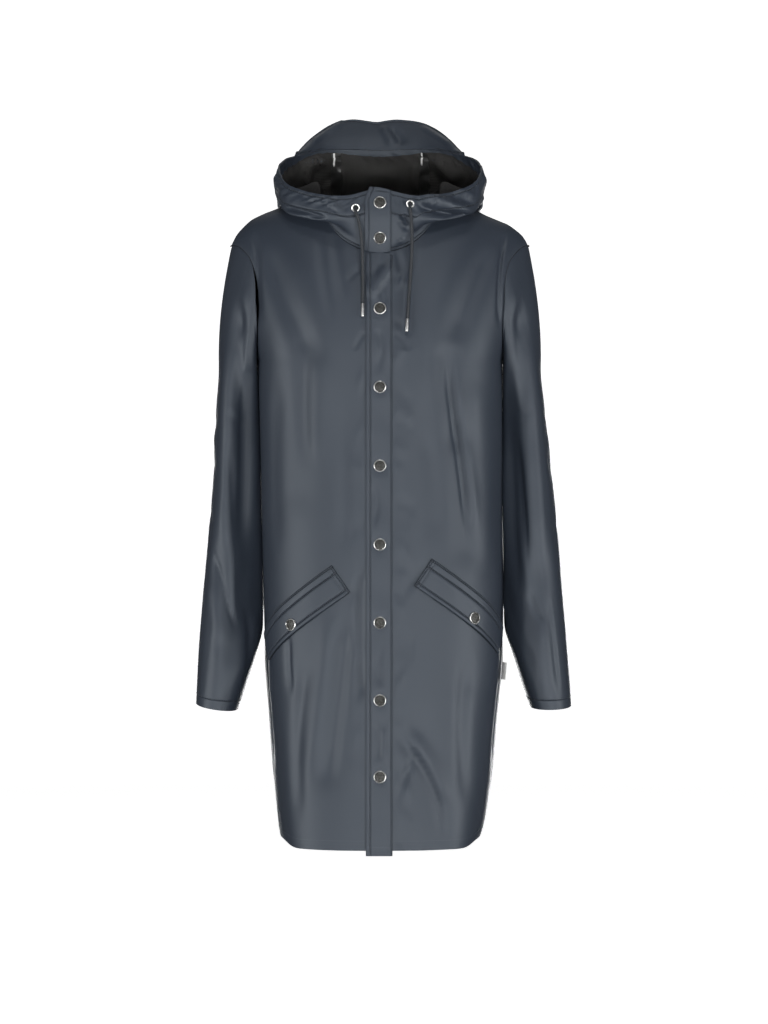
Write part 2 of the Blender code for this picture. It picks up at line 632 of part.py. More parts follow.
def hood_grid(neck_points, angles):
    """Grid of the hood's outer face, rows from the neck seam to the rim."""
    profiles = hood_profiles(neck_points, angles)
    grid = []
    for index in range(len(angles)):
        _, length = along_profile(profiles[:, index], np.zeros(1))
        middle = np.linspace(HOOD_FOOT_ROWS[-1], length - FACING_DEPTH, HOOD_MIDDLE_ROWS + 1)
        rows = np.concatenate([HOOD_FOOT_ROWS, middle[1:], [length - FACING_DEPTH / 2, length]])
        grid.append(along_profile(profiles[:, index], rows)[0])
    return np.stack(grid, axis=1)


class HoodShape:
    """The hood's columns: neck seam points from the panels, and the angle of each round the neck."""

    def __init__(self):
        points, angles = [], []
        behind = neck_seam(*quarter_places(180.0, BACK_NECK_DROP, BACK_SPLIT, lambda level: 0.0))
        for side in (1, -1):
            turned, levels, _ = front_panel_places(side)
            before = neck_seam(turned, levels)
            in_front = self.on_seam(before[:, 0], before[:, 1])
            at_back = self.on_seam(side * (180.0 - behind[-2::-1, 0]), behind[-2::-1, 1])
            half = in_front + at_back
            if side < 0:
                half = half[-2::-1]
            points += [point for point, _ in half]
            angles += [angle for _, angle in half]
        self.points = np.array(points)
        self.angles = np.array(angles)
        middle = len(self.angles) // 2
        self.left_seam = middle - HOOD_SEAM_STEP
        self.right_seam = middle + HOOD_SEAM_STEP

    @staticmethod
    def on_seam(angles, levels):
        """Points of one quarter's neck seam, each with its angle round the neck."""
        points = cloth_point(angles, levels)
        middle = points[np.argmin(np.abs(points[:, 0]))]
        return [(point, hood_angle(point, middle)) for point in points]

    def unrolled(self):
        """Angles that go on past 180 instead of turning negative."""
        behind = np.arange(len(self.angles)) > len(self.angles) // 2
        return np.where(behind & (self.angles < 60.0), self.angles + 360.0, self.angles)


def make_hood():
    """The hood's two sides and middle panel, its facing and its brim."""
    shape = HoodShape()
    grid = hood_grid(shape.points, shape.angles)
    normals = grid_normals(grid)
    normals[:, [0, -1], 0] = 0.0
    normals /= np.linalg.norm(normals, axis=-1, keepdims=True)
    parts = (("hood_side_left", 0, shape.left_seam), ("hood_center", shape.left_seam, shape.right_seam),
             ("hood_side_right", shape.right_seam, len(shape.angles) - 1))
    for name, first, last in parts:
        piece, turned = grid[:, first:last + 1], normals[:, first:last + 1]
        add_wall(name, inset(piece, turned, SEAM_GAP / 2, whole_grid(piece)), turned, WALL, "coated_cloth")
    return shape, grid, normals


def make_facing(shape, grid, normals):
    """The strip of coated cloth inside the rim, on the hood's last rows."""
    around = shape.unrolled()
    keep = (around > FACING_GAP_ANGLE) & (around < 360.0 - FACING_GAP_ANGLE)
    strip, turned = grid[-3:, keep].copy(), normals[-3:, keep]
    strip[-1] += (strip[-2] - strip[-1]) * FACING_RIM_GAP / (FACING_DEPTH / 2)
    add_wall("hood_facing", strip - turned * (WALL + LIFT), turned, FACING_WALL, "coated_cloth")


def make_brim(shape, grid):
    """The stiff crescent that stands up from the back of the rim, on the rim's own points."""
    rim = grid[-1][np.abs(shape.unrolled() - 180.0) < BRIM_HALF_ANGLE]
    middles = (rim[1:] + rim[:-1]) / 2
    base = np.empty((2 * len(rim) - 1, 3))
    base[0::2], base[1::2] = rim, middles
    sides = np.abs(base[:, 0])
    edge = np.stack([base[:, 0], smooth(sides, column(BRIM_EDGE, 0), column(BRIM_EDGE, 2)),
                     smooth(sides, column(BRIM_EDGE, 0), column(BRIM_EDGE, 1))], axis=-1)
    base = base + np.array([0.0, 0.0, SEAM_GAP])
    edge[:, 2] = np.maximum(edge[:, 2], base[:, 2] + BRIM_END_HEIGHT)
    rows = []
    for share in np.linspace(0.0, 1.0, BRIM_ROWS):
        bow = BRIM_BOW * math.sin(math.pi * share)
        rows.append(base + (edge - base) * share - np.array([0.0, bow, 0.0]))
    brim = np.stack(rows)
    add_wall("hood_brim", brim, grid_normals(brim), LAYERED_WALL, "coated_cloth")


def make_placket_top(grid):
    """The part of the placket above the neck seam, on the front of the hood."""
    rows = grid.shape[0]
    strip = np.empty((rows, 4, 3))
    for index, x in enumerate(np.linspace(*PLACKET_TOP_EDGES, 4)):
        for row in range(rows):
            line = np.concatenate([grid[row, -4:], grid[row, :4]])
            order = np.argsort(line[:, 0])
            line = line[order]
            strip[row, index] = [x] + [np.interp(x, line[:, 0], line[:, axis]) for axis in (1, 2)]
    strip[-1, :, 2] += np.linspace(PLACKET_PEAK, 0.0, 4)
    normals = grid_normals(strip)
    outer = strip + normals * (PLACKET_TOP_LIFT + LAYERED_WALL)
    outer[0] += (outer[1] - outer[0]) * PLACKET_TOP_TRIM
    add_wall("placket_top", outer, normals, LAYERED_WALL, "coated_cloth")
    return outer, normals


def armhole_loop(side):
    """Seam points of one armhole, from the underarm up the front and down the back, with normals."""
    yoke = slice(len(LOWER_LEVELS) - 1, None)
    places = [(armhole_angle(level), level) for level in panel_levels(FRONT_SPLIT)[yoke]]
    places += [(180.0 - armhole_angle(level), level) for level in panel_levels(BACK_SPLIT)[yoke][-2:0:-1]]
    angles = np.array([side * place[0] for place in places])
    levels = np.array([place[1] for place in places])
    return cloth_frame(angles, levels)


def even_ring(outer_x, inner_x, centre_y, depth, shares):
    """Points of a flattened ring at shares of its length, from its inner side over the front."""
    turn = np.linspace(0.0, 2 * math.pi, 361)
    cosine, sine = np.cos(turn), np.sin(turn)
    square = SLEEVE_SQUARENESS
    reach = (np.abs(cosine) ** square + np.abs(sine) ** square) ** (1 / square)
    x = (outer_x + inner_x) / 2 - (outer_x - inner_x) / 2 * cosine / reach
    y = centre_y - depth / 2 * sine / reach
    travelled = np.concatenate([[0.0], np.cumsum(np.hypot(np.diff(x), np.diff(y)))])
    places = np.asarray(shares) * travelled[-1]
    return np.interp(places, travelled, x), np.interp(places, travelled, y)


def clear_of_body(side, x, y, z, clearance):
    """Distance from the middle, moved out where a sleeve would touch the side of the body."""
    half, centre, front, back, square = body_section(z)
    rise = np.clip((z - UNDERARM_Z) / (SHOULDER_LINE[-1][1] - UNDERARM_Z), 0.0, 1.0)
    half = half + (SHOULDER_TIP_X - half) * rise
    depth = np.where(y < 0.0, front, back)
    inside = np.clip(1.0 - (np.abs(y) / depth) ** square, 0.0, 1.0)
    side_x = half * inside ** (1.0 / square) + side * centre
    return np.maximum(x, side_x + clearance)


def seam_start(seam, seam_normals, first_ring):
    """A sleeve's first ring: off the armhole's edge by the seam gap, whichever way the cloth turns there."""
    along = np.roll(seam, -1, axis=0) - np.roll(seam, 1, axis=0)
    off_panel = across(along, seam_normals)
    down_sleeve = first_ring - seam
    down_sleeve /= np.linalg.norm(down_sleeve, axis=-1, keepdims=True)
    way = off_panel + down_sleeve + SLEEVE_SEAM_LEAN * seam_normals
    return seam + SEAM_GAP * way / np.linalg.norm(way, axis=-1, keepdims=True), down_sleeve


def make_sleeve(name, side):
    """One sleeve, a tube from the armhole to the cuff. Its places are distances from the middle."""
    mirror = np.array([side, 1.0, 1.0])
    seam, seam_normals = armhole_loop(side)
    seam, seam_normals = seam * mirror, seam_normals * mirror
    steps = np.linalg.norm(np.diff(np.vstack([seam, seam[:1]]), axis=0), axis=1)
    shares = np.concatenate([[0.0], np.cumsum(steps)[:-1]]) / np.sum(steps)
    outer_column, inner_column = (1, 2) if side > 0 else (3, 4)
    rings = []
    for row in SLEEVE_SECTIONS:
        x, y = even_ring(row[outer_column], row[inner_column], row[5], row[6], shares)
        centre_x = (row[outer_column] + row[inner_column]) / 2
        rise = CUFF_RISE[side] * (row[0] / SLEEVE_SECTIONS[-1][0]) ** 4
        z = row[0] + SLEEVE_TILT * (y - row[5]) + rise * (x - centre_x)
        rings.append(np.stack([clear_of_body(side, x, y, z, SLEEVE_CLEARANCE), y, z], axis=-1))
    lift = np.sin(math.pi * shares) ** 2
    low = shares_near_underarm(shares)
    head = [seam]
    for share in SLEEVE_HEAD_SHARES:
        ring = seam * (1.0 - share) + rings[0] * share
        ring[:, 0] += SLEEVE_HEAD_BULGE * math.sin(math.pi * share) * lift
        clearance = SLEEVE_CLEARANCE * min(1.0, 3 * share)
        pushed = clear_of_body(side, ring[:, 0], ring[:, 1], ring[:, 2], clearance)
        ring[:, 0] = np.where(low, pushed, ring[:, 0])
        head.append(ring)
    grid = np.stack(head + rings)
    grid[0], down_sleeve = seam_start(seam, seam_normals, grid[1])
    creases = fold_height(SLEEVE_FOLDS, grid[..., 0], grid[..., 2])
    normals = -grid_normals(grid, closed=True)
    facing = np.clip(-normals[..., 1] * CREASE_FADE, 0.0, 1.0)
    creases[0] = 0.0
    grid = grid + normals * (creases * facing)[..., None]
    normals = -grid_normals(grid, closed=True)
    bends_in = np.sum(down_sleeve * seam_normals, axis=-1, keepdims=True) < 0.0
    normals[0] = np.where(bends_in, seam_normals, normals[0])
    add_wall(name, grid * mirror, normals * mirror, WALL, "coated_cloth", closed=True)


def shares_near_underarm(shares):
    """Which places round the armhole lie low enough for the sleeve to lie on the body's side."""
    return (shares < UNDERARM_SHARE) | (shares > 1.0 - UNDERARM_SHARE)


def front_level(z):
    """Level of a height on the lower body."""
    return (z - UNDERARM_Z) / (UNDERARM_Z - HEM_Z)


def girth_path(side, z):
    """Angles of the front half of the body at a height and the girth from the middle to each."""
    level = front_level(z)
    angles = np.linspace(0.0, 92.0, 200) * side
    points = body_point(angles, level)
    steps = np.linalg.norm(np.diff(points, axis=0), axis=1)
    return angles, points[:, 0], np.concatenate([[0.0], np.cumsum(steps)])


def place_on_front(side, corner_x, corner_z, along, down):
    """Angle and level of a point of a flap, given from its upper inner corner."""
    angles, places_x, girth = girth_path(side, corner_z)
    start = np.interp(side * corner_x, side * places_x, girth)
    reach = start + along * math.cos(FLAP_SLOPE) - down * math.sin(FLAP_SLOPE)
    z = corner_z - along * math.sin(FLAP_SLOPE) - down * math.cos(FLAP_SLOPE)
    angles, _, girth = girth_path(side, z)
    return float(np.interp(reach, girth, angles * side)) * side, front_level(z)


def make_pocket(side, corner_x, corner_z):
    """A slanting pocket flap with its snap."""
    name = "left" if side > 0 else "right"
    downs = np.linspace(FLAP_DEPTH, 0.0, 4)
    alongs = np.linspace(0.0, FLAP_LENGTH, FLAP_STEPS + 1)
    places = np.array([[place_on_front(side, corner_x, corner_z, along, down) for along in alongs]
                       for down in downs])
    outer, normals = lifted_strip(places[..., 0], places[..., 1], FLAP_LIFT, LAYERED_WALL)
    add_wall("pocket_flap_" + name, outer, normals, LAYERED_WALL, "coated_cloth")
    angle, level = place_on_front(side, corner_x, corner_z, FLAP_SNAP_ALONG, FLAP_SNAP_DOWN)
    point, normal = cloth_frame(angle, level)
    base = point + normal * (FLAP_LIFT + LAYERED_WALL + LIFT)
    add_turned("pocket_snap_" + name, SNAP_PROFILE, base, normal, "metal")


def add_turned(name, profile, base, axis, finish, ring=False):
    """Turned piece with its base at a point and its axis along a direction."""
    vertices, faces = [], []
    loops = []
    for radius, height in profile:
        if radius == 0.0:
            loops.append([len(vertices)])
            vertices.append((0.0, 0.0, height))
            continue
        loops.append(list(range(len(vertices), len(vertices) + TURNED_SIDES)))
        for step in range(TURNED_SIDES):
            turn = 2 * math.pi * step / TURNED_SIDES
            vertices.append((radius * math.cos(turn), radius * math.sin(turn), height))
    pairs = list(zip(loops, loops[1:]))
    if ring:
        pairs.append((loops[-1], loops[0]))
    else:
        faces.append(list(reversed(loops[0])))
    for low, high in pairs:
        for step in range(TURNED_SIDES):
            after = (step + 1) % TURNED_SIDES
            if len(high) == 1:
                faces.append([low[step], low[after], high[0]])
            else:
                faces.append([low[step], low[after], high[after], high[step]])
    item = add_mesh(name, vertices, faces, finish)
    turn = Vector((0.0, 0.0, 1.0)).rotation_difference(Vector(axis)).to_matrix().to_4x4()
    item.matrix_world = Matrix.Translation(Vector(base) * MM) @ turn
    return item


def make_placket_snaps(top_grid, top_normals):
    """The snap caps: two on the hood, the rest down the placket."""
    for number, z in enumerate(HOOD_SNAP_HEIGHTS, start=1):
        line = (top_grid[:, 1] + top_grid[:, 2]) / 2
        normal_line = (top_normals[:, 1] + top_normals[:, 2]) / 2
        point = [np.interp(z, line[:, 2], line[:, axis]) for axis in range(3)]
        normal = np.array([np.interp(z, line[:, 2], normal_line[:, axis]) for axis in range(3)])
        normal /= np.linalg.norm(normal)
        point = np.array(point)
        point[0] = 0.0
        add_turned("snap_cap_%d" % number, SNAP_PROFILE, point + normal * LIFT, normal, "metal")
    for number, z in enumerate(SNAP_HEIGHTS, start=len(HOOD_SNAP_HEIGHTS) + 1):
        level = front_level(z) if z < UNDERARM_Z else level_in_front(z)
        point, normal = cloth_frame(front_angle(0.0, level), level)
        base = point + normal * (2 * LIFT + LAYERED_WALL)
        add_turned("snap_cap_%d" % number, SNAP_PROFILE, base, normal, "metal")


def level_in_front(z):
    """Level of a height above the underarm at the middle of the front."""
    return math.degrees(math.asin((z - UNDERARM_Z) / (SHOULDER_LINE[0][1] - UNDERARM_Z))) / 90.0


def on_hood_front(grid, normals, x, z):
    """Point and normal of the hood's front face at x and z."""
    rows = grid.shape[0]
    start = rows // 2
    columns = np.concatenate([np.arange(grid.shape[1] - 6, grid.shape[1]), np.arange(0, 6)])
    patch = grid[start:, columns].reshape(-1, 3)
    patch_normals = normals[start:, columns].reshape(-1, 3)
    weight = 1.0 / ((patch[:, 0] - x) ** 2 + (patch[:, 2] - z) ** 2 + 4.0) ** 2
    weight /= weight.sum()
    normal = (patch_normals * weight[:, None]).sum(axis=0)
    y = (patch[:, 1] * weight).sum()
    return np.array([x, y, z]), normal / np.linalg.norm(normal)


def smooth_route(points, spacing):
    """Points every so often along a smooth curve through the route's own points."""
    points = np.asarray(points, float)
    steps = np.linalg.norm(np.diff(points, axis=0), axis=1)
    travelled = np.concatenate([[0.0], np.cumsum(steps)])
    count = max(4, int(round(travelled[-1] / spacing)) + 1)
    places = np.linspace(0.0, travelled[-1], count)
    return np.stack([smooth(places, travelled, points[:, axis]) for axis in range(3)], axis=-1)


def chest_y(x, z):
    """How far forward the chest's cloth comes at x and z, or at the neck seam for places above it."""
    level = front_level(z) if z < UNDERARM_Z else level_in_front(min(z, NECK_SIDE_Z - FRONT_NECK_DROP))
    point, _ = cloth_frame(front_angle(x, level), level)
    return float(point[1])


def make_drawcord(name, x, z, grid, normals):
    """An eyelet, the free end of the drawcord that comes out of it, and its metal tip."""
    point, normal = on_hood_front(grid, normals, x, z)
    point = point + normal * EYELET_CLEARANCE
    add_turned("eyelet_" + name, EYELET_PROFILE, point + normal * LIFT, normal, "metal", ring=True)
    radius = CORD_DIAMETER / 2
    start = point + normal * (LIFT + max(column(EYELET_PROFILE, 1)) + SEAM_GAP)
    route = [start + np.array([0.0, -out, -down]) for out, down in CORD_EXIT_BEND]
    for sideways, down in CORD_ROUTES[name]:
        place_x, place_z = x + sideways, z + down
        resting = chest_y(place_x, place_z) - radius - CORD_REST_GAP
        hanging = start[1] - CORD_EXIT_BEND[-1][0] + CORD_FALL_BACK * (-down)
        route.append(np.array([place_x, min(resting, hanging), place_z]))
    points = smooth_route(route, CORD_POINT_SPACING)
    curve = bpy.data.curves.new("cord_" + name, "CURVE")
    curve.dimensions = "3D"
    curve.bevel_depth = radius * MM
    curve.bevel_resolution = 2
    curve.use_fill_caps = True
    spline = curve.splines.new("POLY")
    spline.points.add(len(points) - 1)
    for spot, place in zip(spline.points, points):
        spot.co = (*(place * MM), 1.0)
    item = bpy.data.objects.new("cord_" + name, curve)
    item.data.materials.append(new_material("cord"))
    bpy.context.scene.collection.objects.link(item)
    direction = points[-1] - points[-2]
    direction /= np.linalg.norm(direction)
    add_turned("cord_tip_" + name, TIP_PROFILE, points[-1] + direction * SEAM_GAP, direction, "metal")


def make_label():
    """The small blank label sewn into the side seam."""
    levels = [front_level(LABEL_Z + share * LABEL_HEIGHT) for share in (-0.5, 0.0, 0.5)]
    half_angle = math.degrees(LABEL_WIDTH / 2 / LABEL_REACH)
    angles = np.array([[LABEL_ANGLE - half_angle, LABEL_ANGLE + half_angle]] * 3)
    rows = np.array(levels)[:, None] * np.ones(2)
    outer, normals = lifted_strip(angles, rows, LIFT, LABEL_WALL)
    add_wall("side_label", outer, normals, LABEL_WALL, "label")


def clear_scene():
    """Remove whatever the file held."""
    for item in list(bpy.data.objects):
        bpy.data.objects.remove(item, do_unlink=True)


def main():
    """Model the coat."""
    clear_scene()
    make_body()
    make_placket()
    shape, grid, normals = make_hood()
    make_facing(shape, grid, normals)
    make_brim(shape, grid)
    top_grid, top_normals = make_placket_top(grid)
    for name, side in (("sleeve_left", 1), ("sleeve_right", -1)):
        make_sleeve(name, side)
    for side, corner_x, corner_z in FLAP_CORNERS:
        make_pocket(side, corner_x, corner_z)
    make_placket_snaps(top_grid, top_normals)
    for name, x, z in EYELETS:
        make_drawcord(name, x, z, grid, normals)
    make_label()


main()
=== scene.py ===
"""Looks of the hooded raincoat: thin cloth shells with their creases, stitching, snaps and drawcord.

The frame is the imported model's: metres, +Z up, the front faces -Y and +X is the wearer's left. Tables of
shapes are in millimetres, seen from the front as (x, z) where nothing else is said.
"""
import logging
import math
from dataclasses import dataclass, field
from enum import Enum
from typing import Any, Callable, Sequence

import bpy
import numpy as np
from mathutils import Matrix, Vector


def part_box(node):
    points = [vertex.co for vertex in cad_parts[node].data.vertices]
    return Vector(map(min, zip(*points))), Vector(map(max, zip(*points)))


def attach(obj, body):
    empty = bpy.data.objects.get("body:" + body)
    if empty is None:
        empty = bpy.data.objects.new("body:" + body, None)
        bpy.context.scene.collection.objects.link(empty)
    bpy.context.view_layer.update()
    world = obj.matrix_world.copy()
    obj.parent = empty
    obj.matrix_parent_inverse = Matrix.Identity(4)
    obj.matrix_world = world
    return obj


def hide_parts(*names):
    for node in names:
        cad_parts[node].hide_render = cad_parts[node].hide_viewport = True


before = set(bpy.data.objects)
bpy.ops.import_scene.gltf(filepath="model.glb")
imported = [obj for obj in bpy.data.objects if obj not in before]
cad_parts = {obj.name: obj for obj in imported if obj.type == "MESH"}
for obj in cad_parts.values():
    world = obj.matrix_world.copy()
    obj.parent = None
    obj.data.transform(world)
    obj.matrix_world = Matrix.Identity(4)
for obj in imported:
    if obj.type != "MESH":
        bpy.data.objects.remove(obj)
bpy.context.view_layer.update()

log = logging.getLogger("raincoat")
MM = 0.001
BODY = "root"
Array = np.ndarray
Table = Sequence[Sequence[float]]


# ------------------------------------------------------------------------------------------------
# curves and small vector helpers
# ------------------------------------------------------------------------------------------------
def smooth(at: Any, table_x: Any, table_y: Any) -> Array:
    """Value of a smooth curve through a table's points, held level past its ends.

    Args:
        at: Where the curve is read.
        table_x: Rising places of the table.
        table_y: Values at these places.

    Returns:
        The curve's values.
    """
    table_x, table_y = np.asarray(table_x, float), np.asarray(table_y, float)
    at = np.clip(np.asarray(at, float), table_x[0], table_x[-1])
    slopes = np.gradient(table_y, table_x)
    index = np.clip(np.searchsorted(table_x, at, side="right") - 1, 0, len(table_x) - 2)
    span = table_x[index + 1] - table_x[index]
    share = (at - table_x[index]) / span
    level = (1 + 2 * share) * (1 - share) ** 2 * table_y[index] + share ** 2 * (3 - 2 * share) * table_y[index + 1]
    glint_reach = share * (1 - share) ** 2 * slopes[index] + share ** 2 * (share - 1) * slopes[index + 1]
    return level + glint_reach * span


def column(table: Table, number: int) -> list[float]:
    """One column of a table of rows."""
    return [row[number] for row in table]


def unit(vectors: Array) -> Array:
    """Vectors of length one."""
    return vectors / np.maximum(np.linalg.norm(vectors, axis=-1, keepdims=True), 1e-9)


def ease(share: Any) -> Array:
    """Soft step from 0 to 1."""
    share = np.clip(share, 0.0, 1.0)
    return share * share * (3.0 - 2.0 * share)


def travelled(points: Array, axis: int = 0) -> Array:
    """Distance walked along an axis of a grid of points, from its start."""
    points = np.moveaxis(points, axis, 0)
    steps = np.linalg.norm(np.diff(points, axis=0), axis=-1)
    walked = np.concatenate([np.zeros((1,) + steps.shape[1:]), np.cumsum(steps, axis=0)])
    return np.moveaxis(walked, 0, axis) if steps.ndim > 1 else walked


def smooth_path(points: Table, count: int) -> Array:
    """Points spaced evenly along a smooth curve through a path's points."""
    points = np.asarray(points, float)
    walked = travelled(points)
    places = np.linspace(0.0, walked[-1], count)
    return np.stack([smooth(places, walked, points[:, axis]) for axis in range(points.shape[1])], axis=-1)


# ------------------------------------------------------------------------------------------------
# creases
# ------------------------------------------------------------------------------------------------
class Side(Enum):
    """From where a crease's line is drawn: which way that is, and which axis runs across."""

    FRONT = ((0.0, -1.0, 0.0), 0)
    BACK = ((0.0, 1.0, 0.0), 0)
    LEFT = ((1.0, 0.0, 0.0), 1)
    RIGHT = ((-1.0, 0.0, 0.0), 1)


@dataclass(frozen=True)
class Crease:
    """A soft ridge or trough of the cloth along a line.

    Fields: the line as (across, height) points, half its width, its depth (positive stands out) and how
    much narrower it is on the left of its run, where below 1 makes a fold line.
    """

    path: Table
    width: float
    depth: float
    steep: float = 1.0

    def height(self, across: Array, z: Array) -> Array:
        """How far the crease moves the cloth out at places seen from its side."""
        line = smooth_path(self.path, 9) if len(self.path) > 2 else np.asarray(self.path, float)
        nearest = np.full(across.shape, np.inf)
        place, left = np.zeros(across.shape), np.zeros(across.shape, bool)
        for number, (start, end) in enumerate(zip(line, line[1:])):
            run = end - start
            off_x, off_z = across - start[0], z - start[1]
            share = np.clip((off_x * run[0] + off_z * run[1]) / (run @ run), 0.0, 1.0)
            off_x, off_z = off_x - share * run[0], off_z - share * run[1]
            away = np.hypot(off_x, off_z)
            closer = away < nearest
            nearest = np.where(closer, away, nearest)
            place = np.where(closer, (number + share) / (len(line) - 1), place)
            left = np.where(closer, run[0] * off_z - run[1] * off_x > 0.0, left)
        width = np.where(left, self.width * self.steep, self.width)
        fade = ease(place / 0.25) * ease((1.0 - place) / 0.25)
        return self.depth * fade * np.exp(-(nearest / width) ** 2)


@dataclass(frozen=True)
class Drape:
    """All the creases of a piece: drawn lines by side, and a slight unevenness everywhere."""

    lines: dict[Side, tuple[Crease, ...]] = field(default_factory=dict)
    waves: float = 0.35
    wavelength: float = 95.0
    seed: int = 1

    def height(self, points: Array, normals: Array) -> Array:
        """How far the cloth moves out at each point."""
        moved = self.unevenness(points)
        for side, creases in self.lines.items():
            way, axis = side.value
            facing = np.clip((normals @ np.array(way)) * 1.6, 0.0, 1.0)
            for crease in creases:
                moved = moved + facing * crease.height(points[..., axis], points[..., 2])
        return moved

    def unevenness(self, points: Array) -> Array:
        """Slow waves of a few lengths and directions."""
        draw = np.random.default_rng(self.seed)
        total = np.zeros(points.shape[:-1])
        for _ in range(9):
            way = unit(draw.normal(size=3) * np.array([1.0, 1.0, 0.45]))
            length = self.wavelength * draw.uniform(0.5, 1.8)
            phase = draw.uniform(0.0, 2 * math.pi)
            total += np.sin(points @ way * (2 * math.pi / length) + phase)
        return self.waves * total / 3.0


def crease(width: float, depth: float, *path: tuple[float, float], steep: float = 1.0) -> Crease:
    """A crease from the numbers of a table's row."""
    return Crease(path, width, depth, steep)


# ------------------------------------------------------------------------------------------------
# the coat's form: the same surfaces as the solids', read at any place
# ------------------------------------------------------------------------------------------------
@dataclass(frozen=True)
class BodyForm:
    """The filled-out body. Angle 0 is the front, 90 the wearer's left; level -1 the hem, 0 the underarm."""

    hem_z: float = -908.0
    underarm_z: float = -240.0
    tip_x: float = 208.0
    ridge_y: float = 5.0
    neck_half_width: float = 85.0
    neck_side_z: float = -3.0
    roundness: tuple[float, float] = (0.60, 0.55)
    clear_x: tuple[float, float] = (24.0, 46.0)
    sections: Table = (     # height, half width, centre, front depth, back depth, squareness
        (-908.0, 139.0, 0.8, 146.0, 144.0, 3.0), (-882.0, 143.5, 2.1, 144.0, 143.0, 2.9),
        (-826.0, 150.5, 3.5, 139.0, 140.0, 2.7), (-742.0, 158.2, 4.2, 133.0, 136.0, 2.6),
        (-658.0, 165.2, 5.4, 129.0, 133.0, 2.5), (-574.0, 167.3, 4.9, 126.0, 130.0, 2.5),
        (-462.0, 167.7, 3.1, 122.0, 127.0, 2.5), (-350.0, 169.0, 1.8, 119.0, 124.0, 2.6),
        (-240.0, 170.5, 0.0, 118.0, 122.0, 2.8),
    )
    shoulder: Table = (     # distance from the middle, height
        (0.0, 29.0), (85.0, -3.0), (110.0, -12.0), (143.0, -26.0), (168.0, -36.5),
        (180.0, -43.0), (190.0, -52.0), (201.0, -65.0), (208.0, -78.0),
    )
    left_drop: Table = ((85.0, 0.0), (120.0, 4.0), (150.0, 7.5), (180.0, 6.0), (208.0, 0.0))
    armhole: Table = (      # height, reach to the front or the back
        (-240.0, 0.0), (-237.0, 20.0), (-230.0, 36.0), (-215.0, 50.0), (-190.0, 60.0), (-160.0, 63.0),
        (-125.0, 60.0), (-105.0, 52.0), (-92.0, 41.0), (-84.0, 30.0), (-80.0, 18.0), (-78.4, 8.0), (-78.0, 0.0),
    )
    front_folds: Table = (  # from x, z, to x, z, width, depth
        (-160.0, -75.0, -108.0, -215.0, 24.0, -6.0), (158.0, -78.0, 104.0, -205.0, 24.0, -6.0),
        (-104.0, -250.0, -112.0, -420.0, 26.0, -6.0), (92.0, -240.0, 108.0, -350.0, 16.0, -8.0),
        (108.0, -350.0, 120.0, -500.0, 20.0, -9.0), (132.0, -300.0, 142.0, -500.0, 18.0, 5.0),
        (-52.0, -640.0, -74.0, -800.0, 22.0, -7.0), (-112.0, -710.0, -118.0, -900.0, 24.0, 5.0),
        (50.0, -740.0, 84.0, -905.0, 20.0, -6.0), (116.0, -710.0, 104.0, -900.0, 22.0, 6.0),
    )
    fold_share: float = 0.4         # of the solids' broad folds, which the thin cloth breaks up
    back_folds: Table = (
        (-96.0, -260.0, -78.0, -560.0, 30.0, -7.0), (88.0, -300.0, 102.0, -620.0, 28.0, -8.0),
        (6.0, -380.0, -4.0, -740.0, 34.0, -5.0), (-64.0, -620.0, -86.0, -900.0, 26.0, 7.0),
        (58.0, -600.0, 74.0, -900.0, 26.0, 7.0),
    )

    def section(self, height: Any) -> list[Array]:
        """Half width, centre, front and back depth and squareness at a height."""
        heights = column(self.sections, 0)
        return [smooth(height, heights, column(self.sections, number)) for number in range(1, 6)]

    def point(self, angle: Any, level: Any) -> Array:
        """Points on the smooth body; past level 1 they lie on the other side of the shoulder line."""
        angle, level = np.broadcast_arrays(np.asarray(angle, float), np.asarray(level, float))
        over = level > 1.0
        angle, level = np.where(over, 180.0 - angle, angle), np.where(over, 2.0 - level, level)
        sine, cosine = np.sin(np.radians(angle)), np.cos(np.radians(angle))
        low_z = self.underarm_z + np.minimum(level, 0.0) * (self.underarm_z - self.hem_z)
        half, centre, front, back, square = self.section(low_z)
        reach = (np.abs(sine) ** square + np.abs(cosine) ** square) ** (1.0 / square)
        x = half * sine / reach
        y = -np.where(cosine > 0.0, front, back) * cosine / reach
        rise = np.radians(90.0 * np.clip(level, 0.0, 1.0))
        ridge_x = x * self.tip_x / half
        ridge_z = smooth(np.abs(ridge_x), column(self.shoulder, 0), column(self.shoulder, 1))
        ridge_z = ridge_z - smooth(ridge_x, column(self.left_drop, 0), column(self.left_drop, 1))
        to_ridge = np.maximum(np.cos(rise), 0.0) ** (self.roundness[0] + self.roundness[1] * cosine ** 2)
        x = x + (ridge_x - x) * np.sin(rise) + centre
        y = self.ridge_y + (y - self.ridge_y) * to_ridge
        z = low_z + (ridge_z - low_z) * np.sin(rise)
        return np.stack(np.broadcast_arrays(x, y, z), axis=-1)

    @staticmethod
    def normal(reader: Callable[[Any, Any], Array], angle: Any, level: Any) -> Array:
        """Outward directions of a surface that is read by angle and level."""
        step_angle = reader(angle + 0.4, level) - reader(angle - 0.4, level)
        step_level = reader(angle, level + 0.004) - reader(angle, level - 0.004)
        return unit(np.cross(step_angle, step_level))

    @staticmethod
    def folds(table: Table, x: Array, z: Array) -> Array:
        """How far a table's broad folds move the cloth out."""
        moved = np.zeros(np.broadcast(x, z).shape)
        for from_x, from_z, to_x, to_z, width, depth in table:
            run_x, run_z = to_x - from_x, to_z - from_z
            share = ((x - from_x) * run_x + (z - from_z) * run_z) / (run_x ** 2 + run_z ** 2)
            share = np.clip(share, 0.0, 1.0)
            away = np.hypot(x - from_x - share * run_x, z - from_z - share * run_z)
            moved = moved + depth * np.exp(-(away / width) ** 2)
        return moved

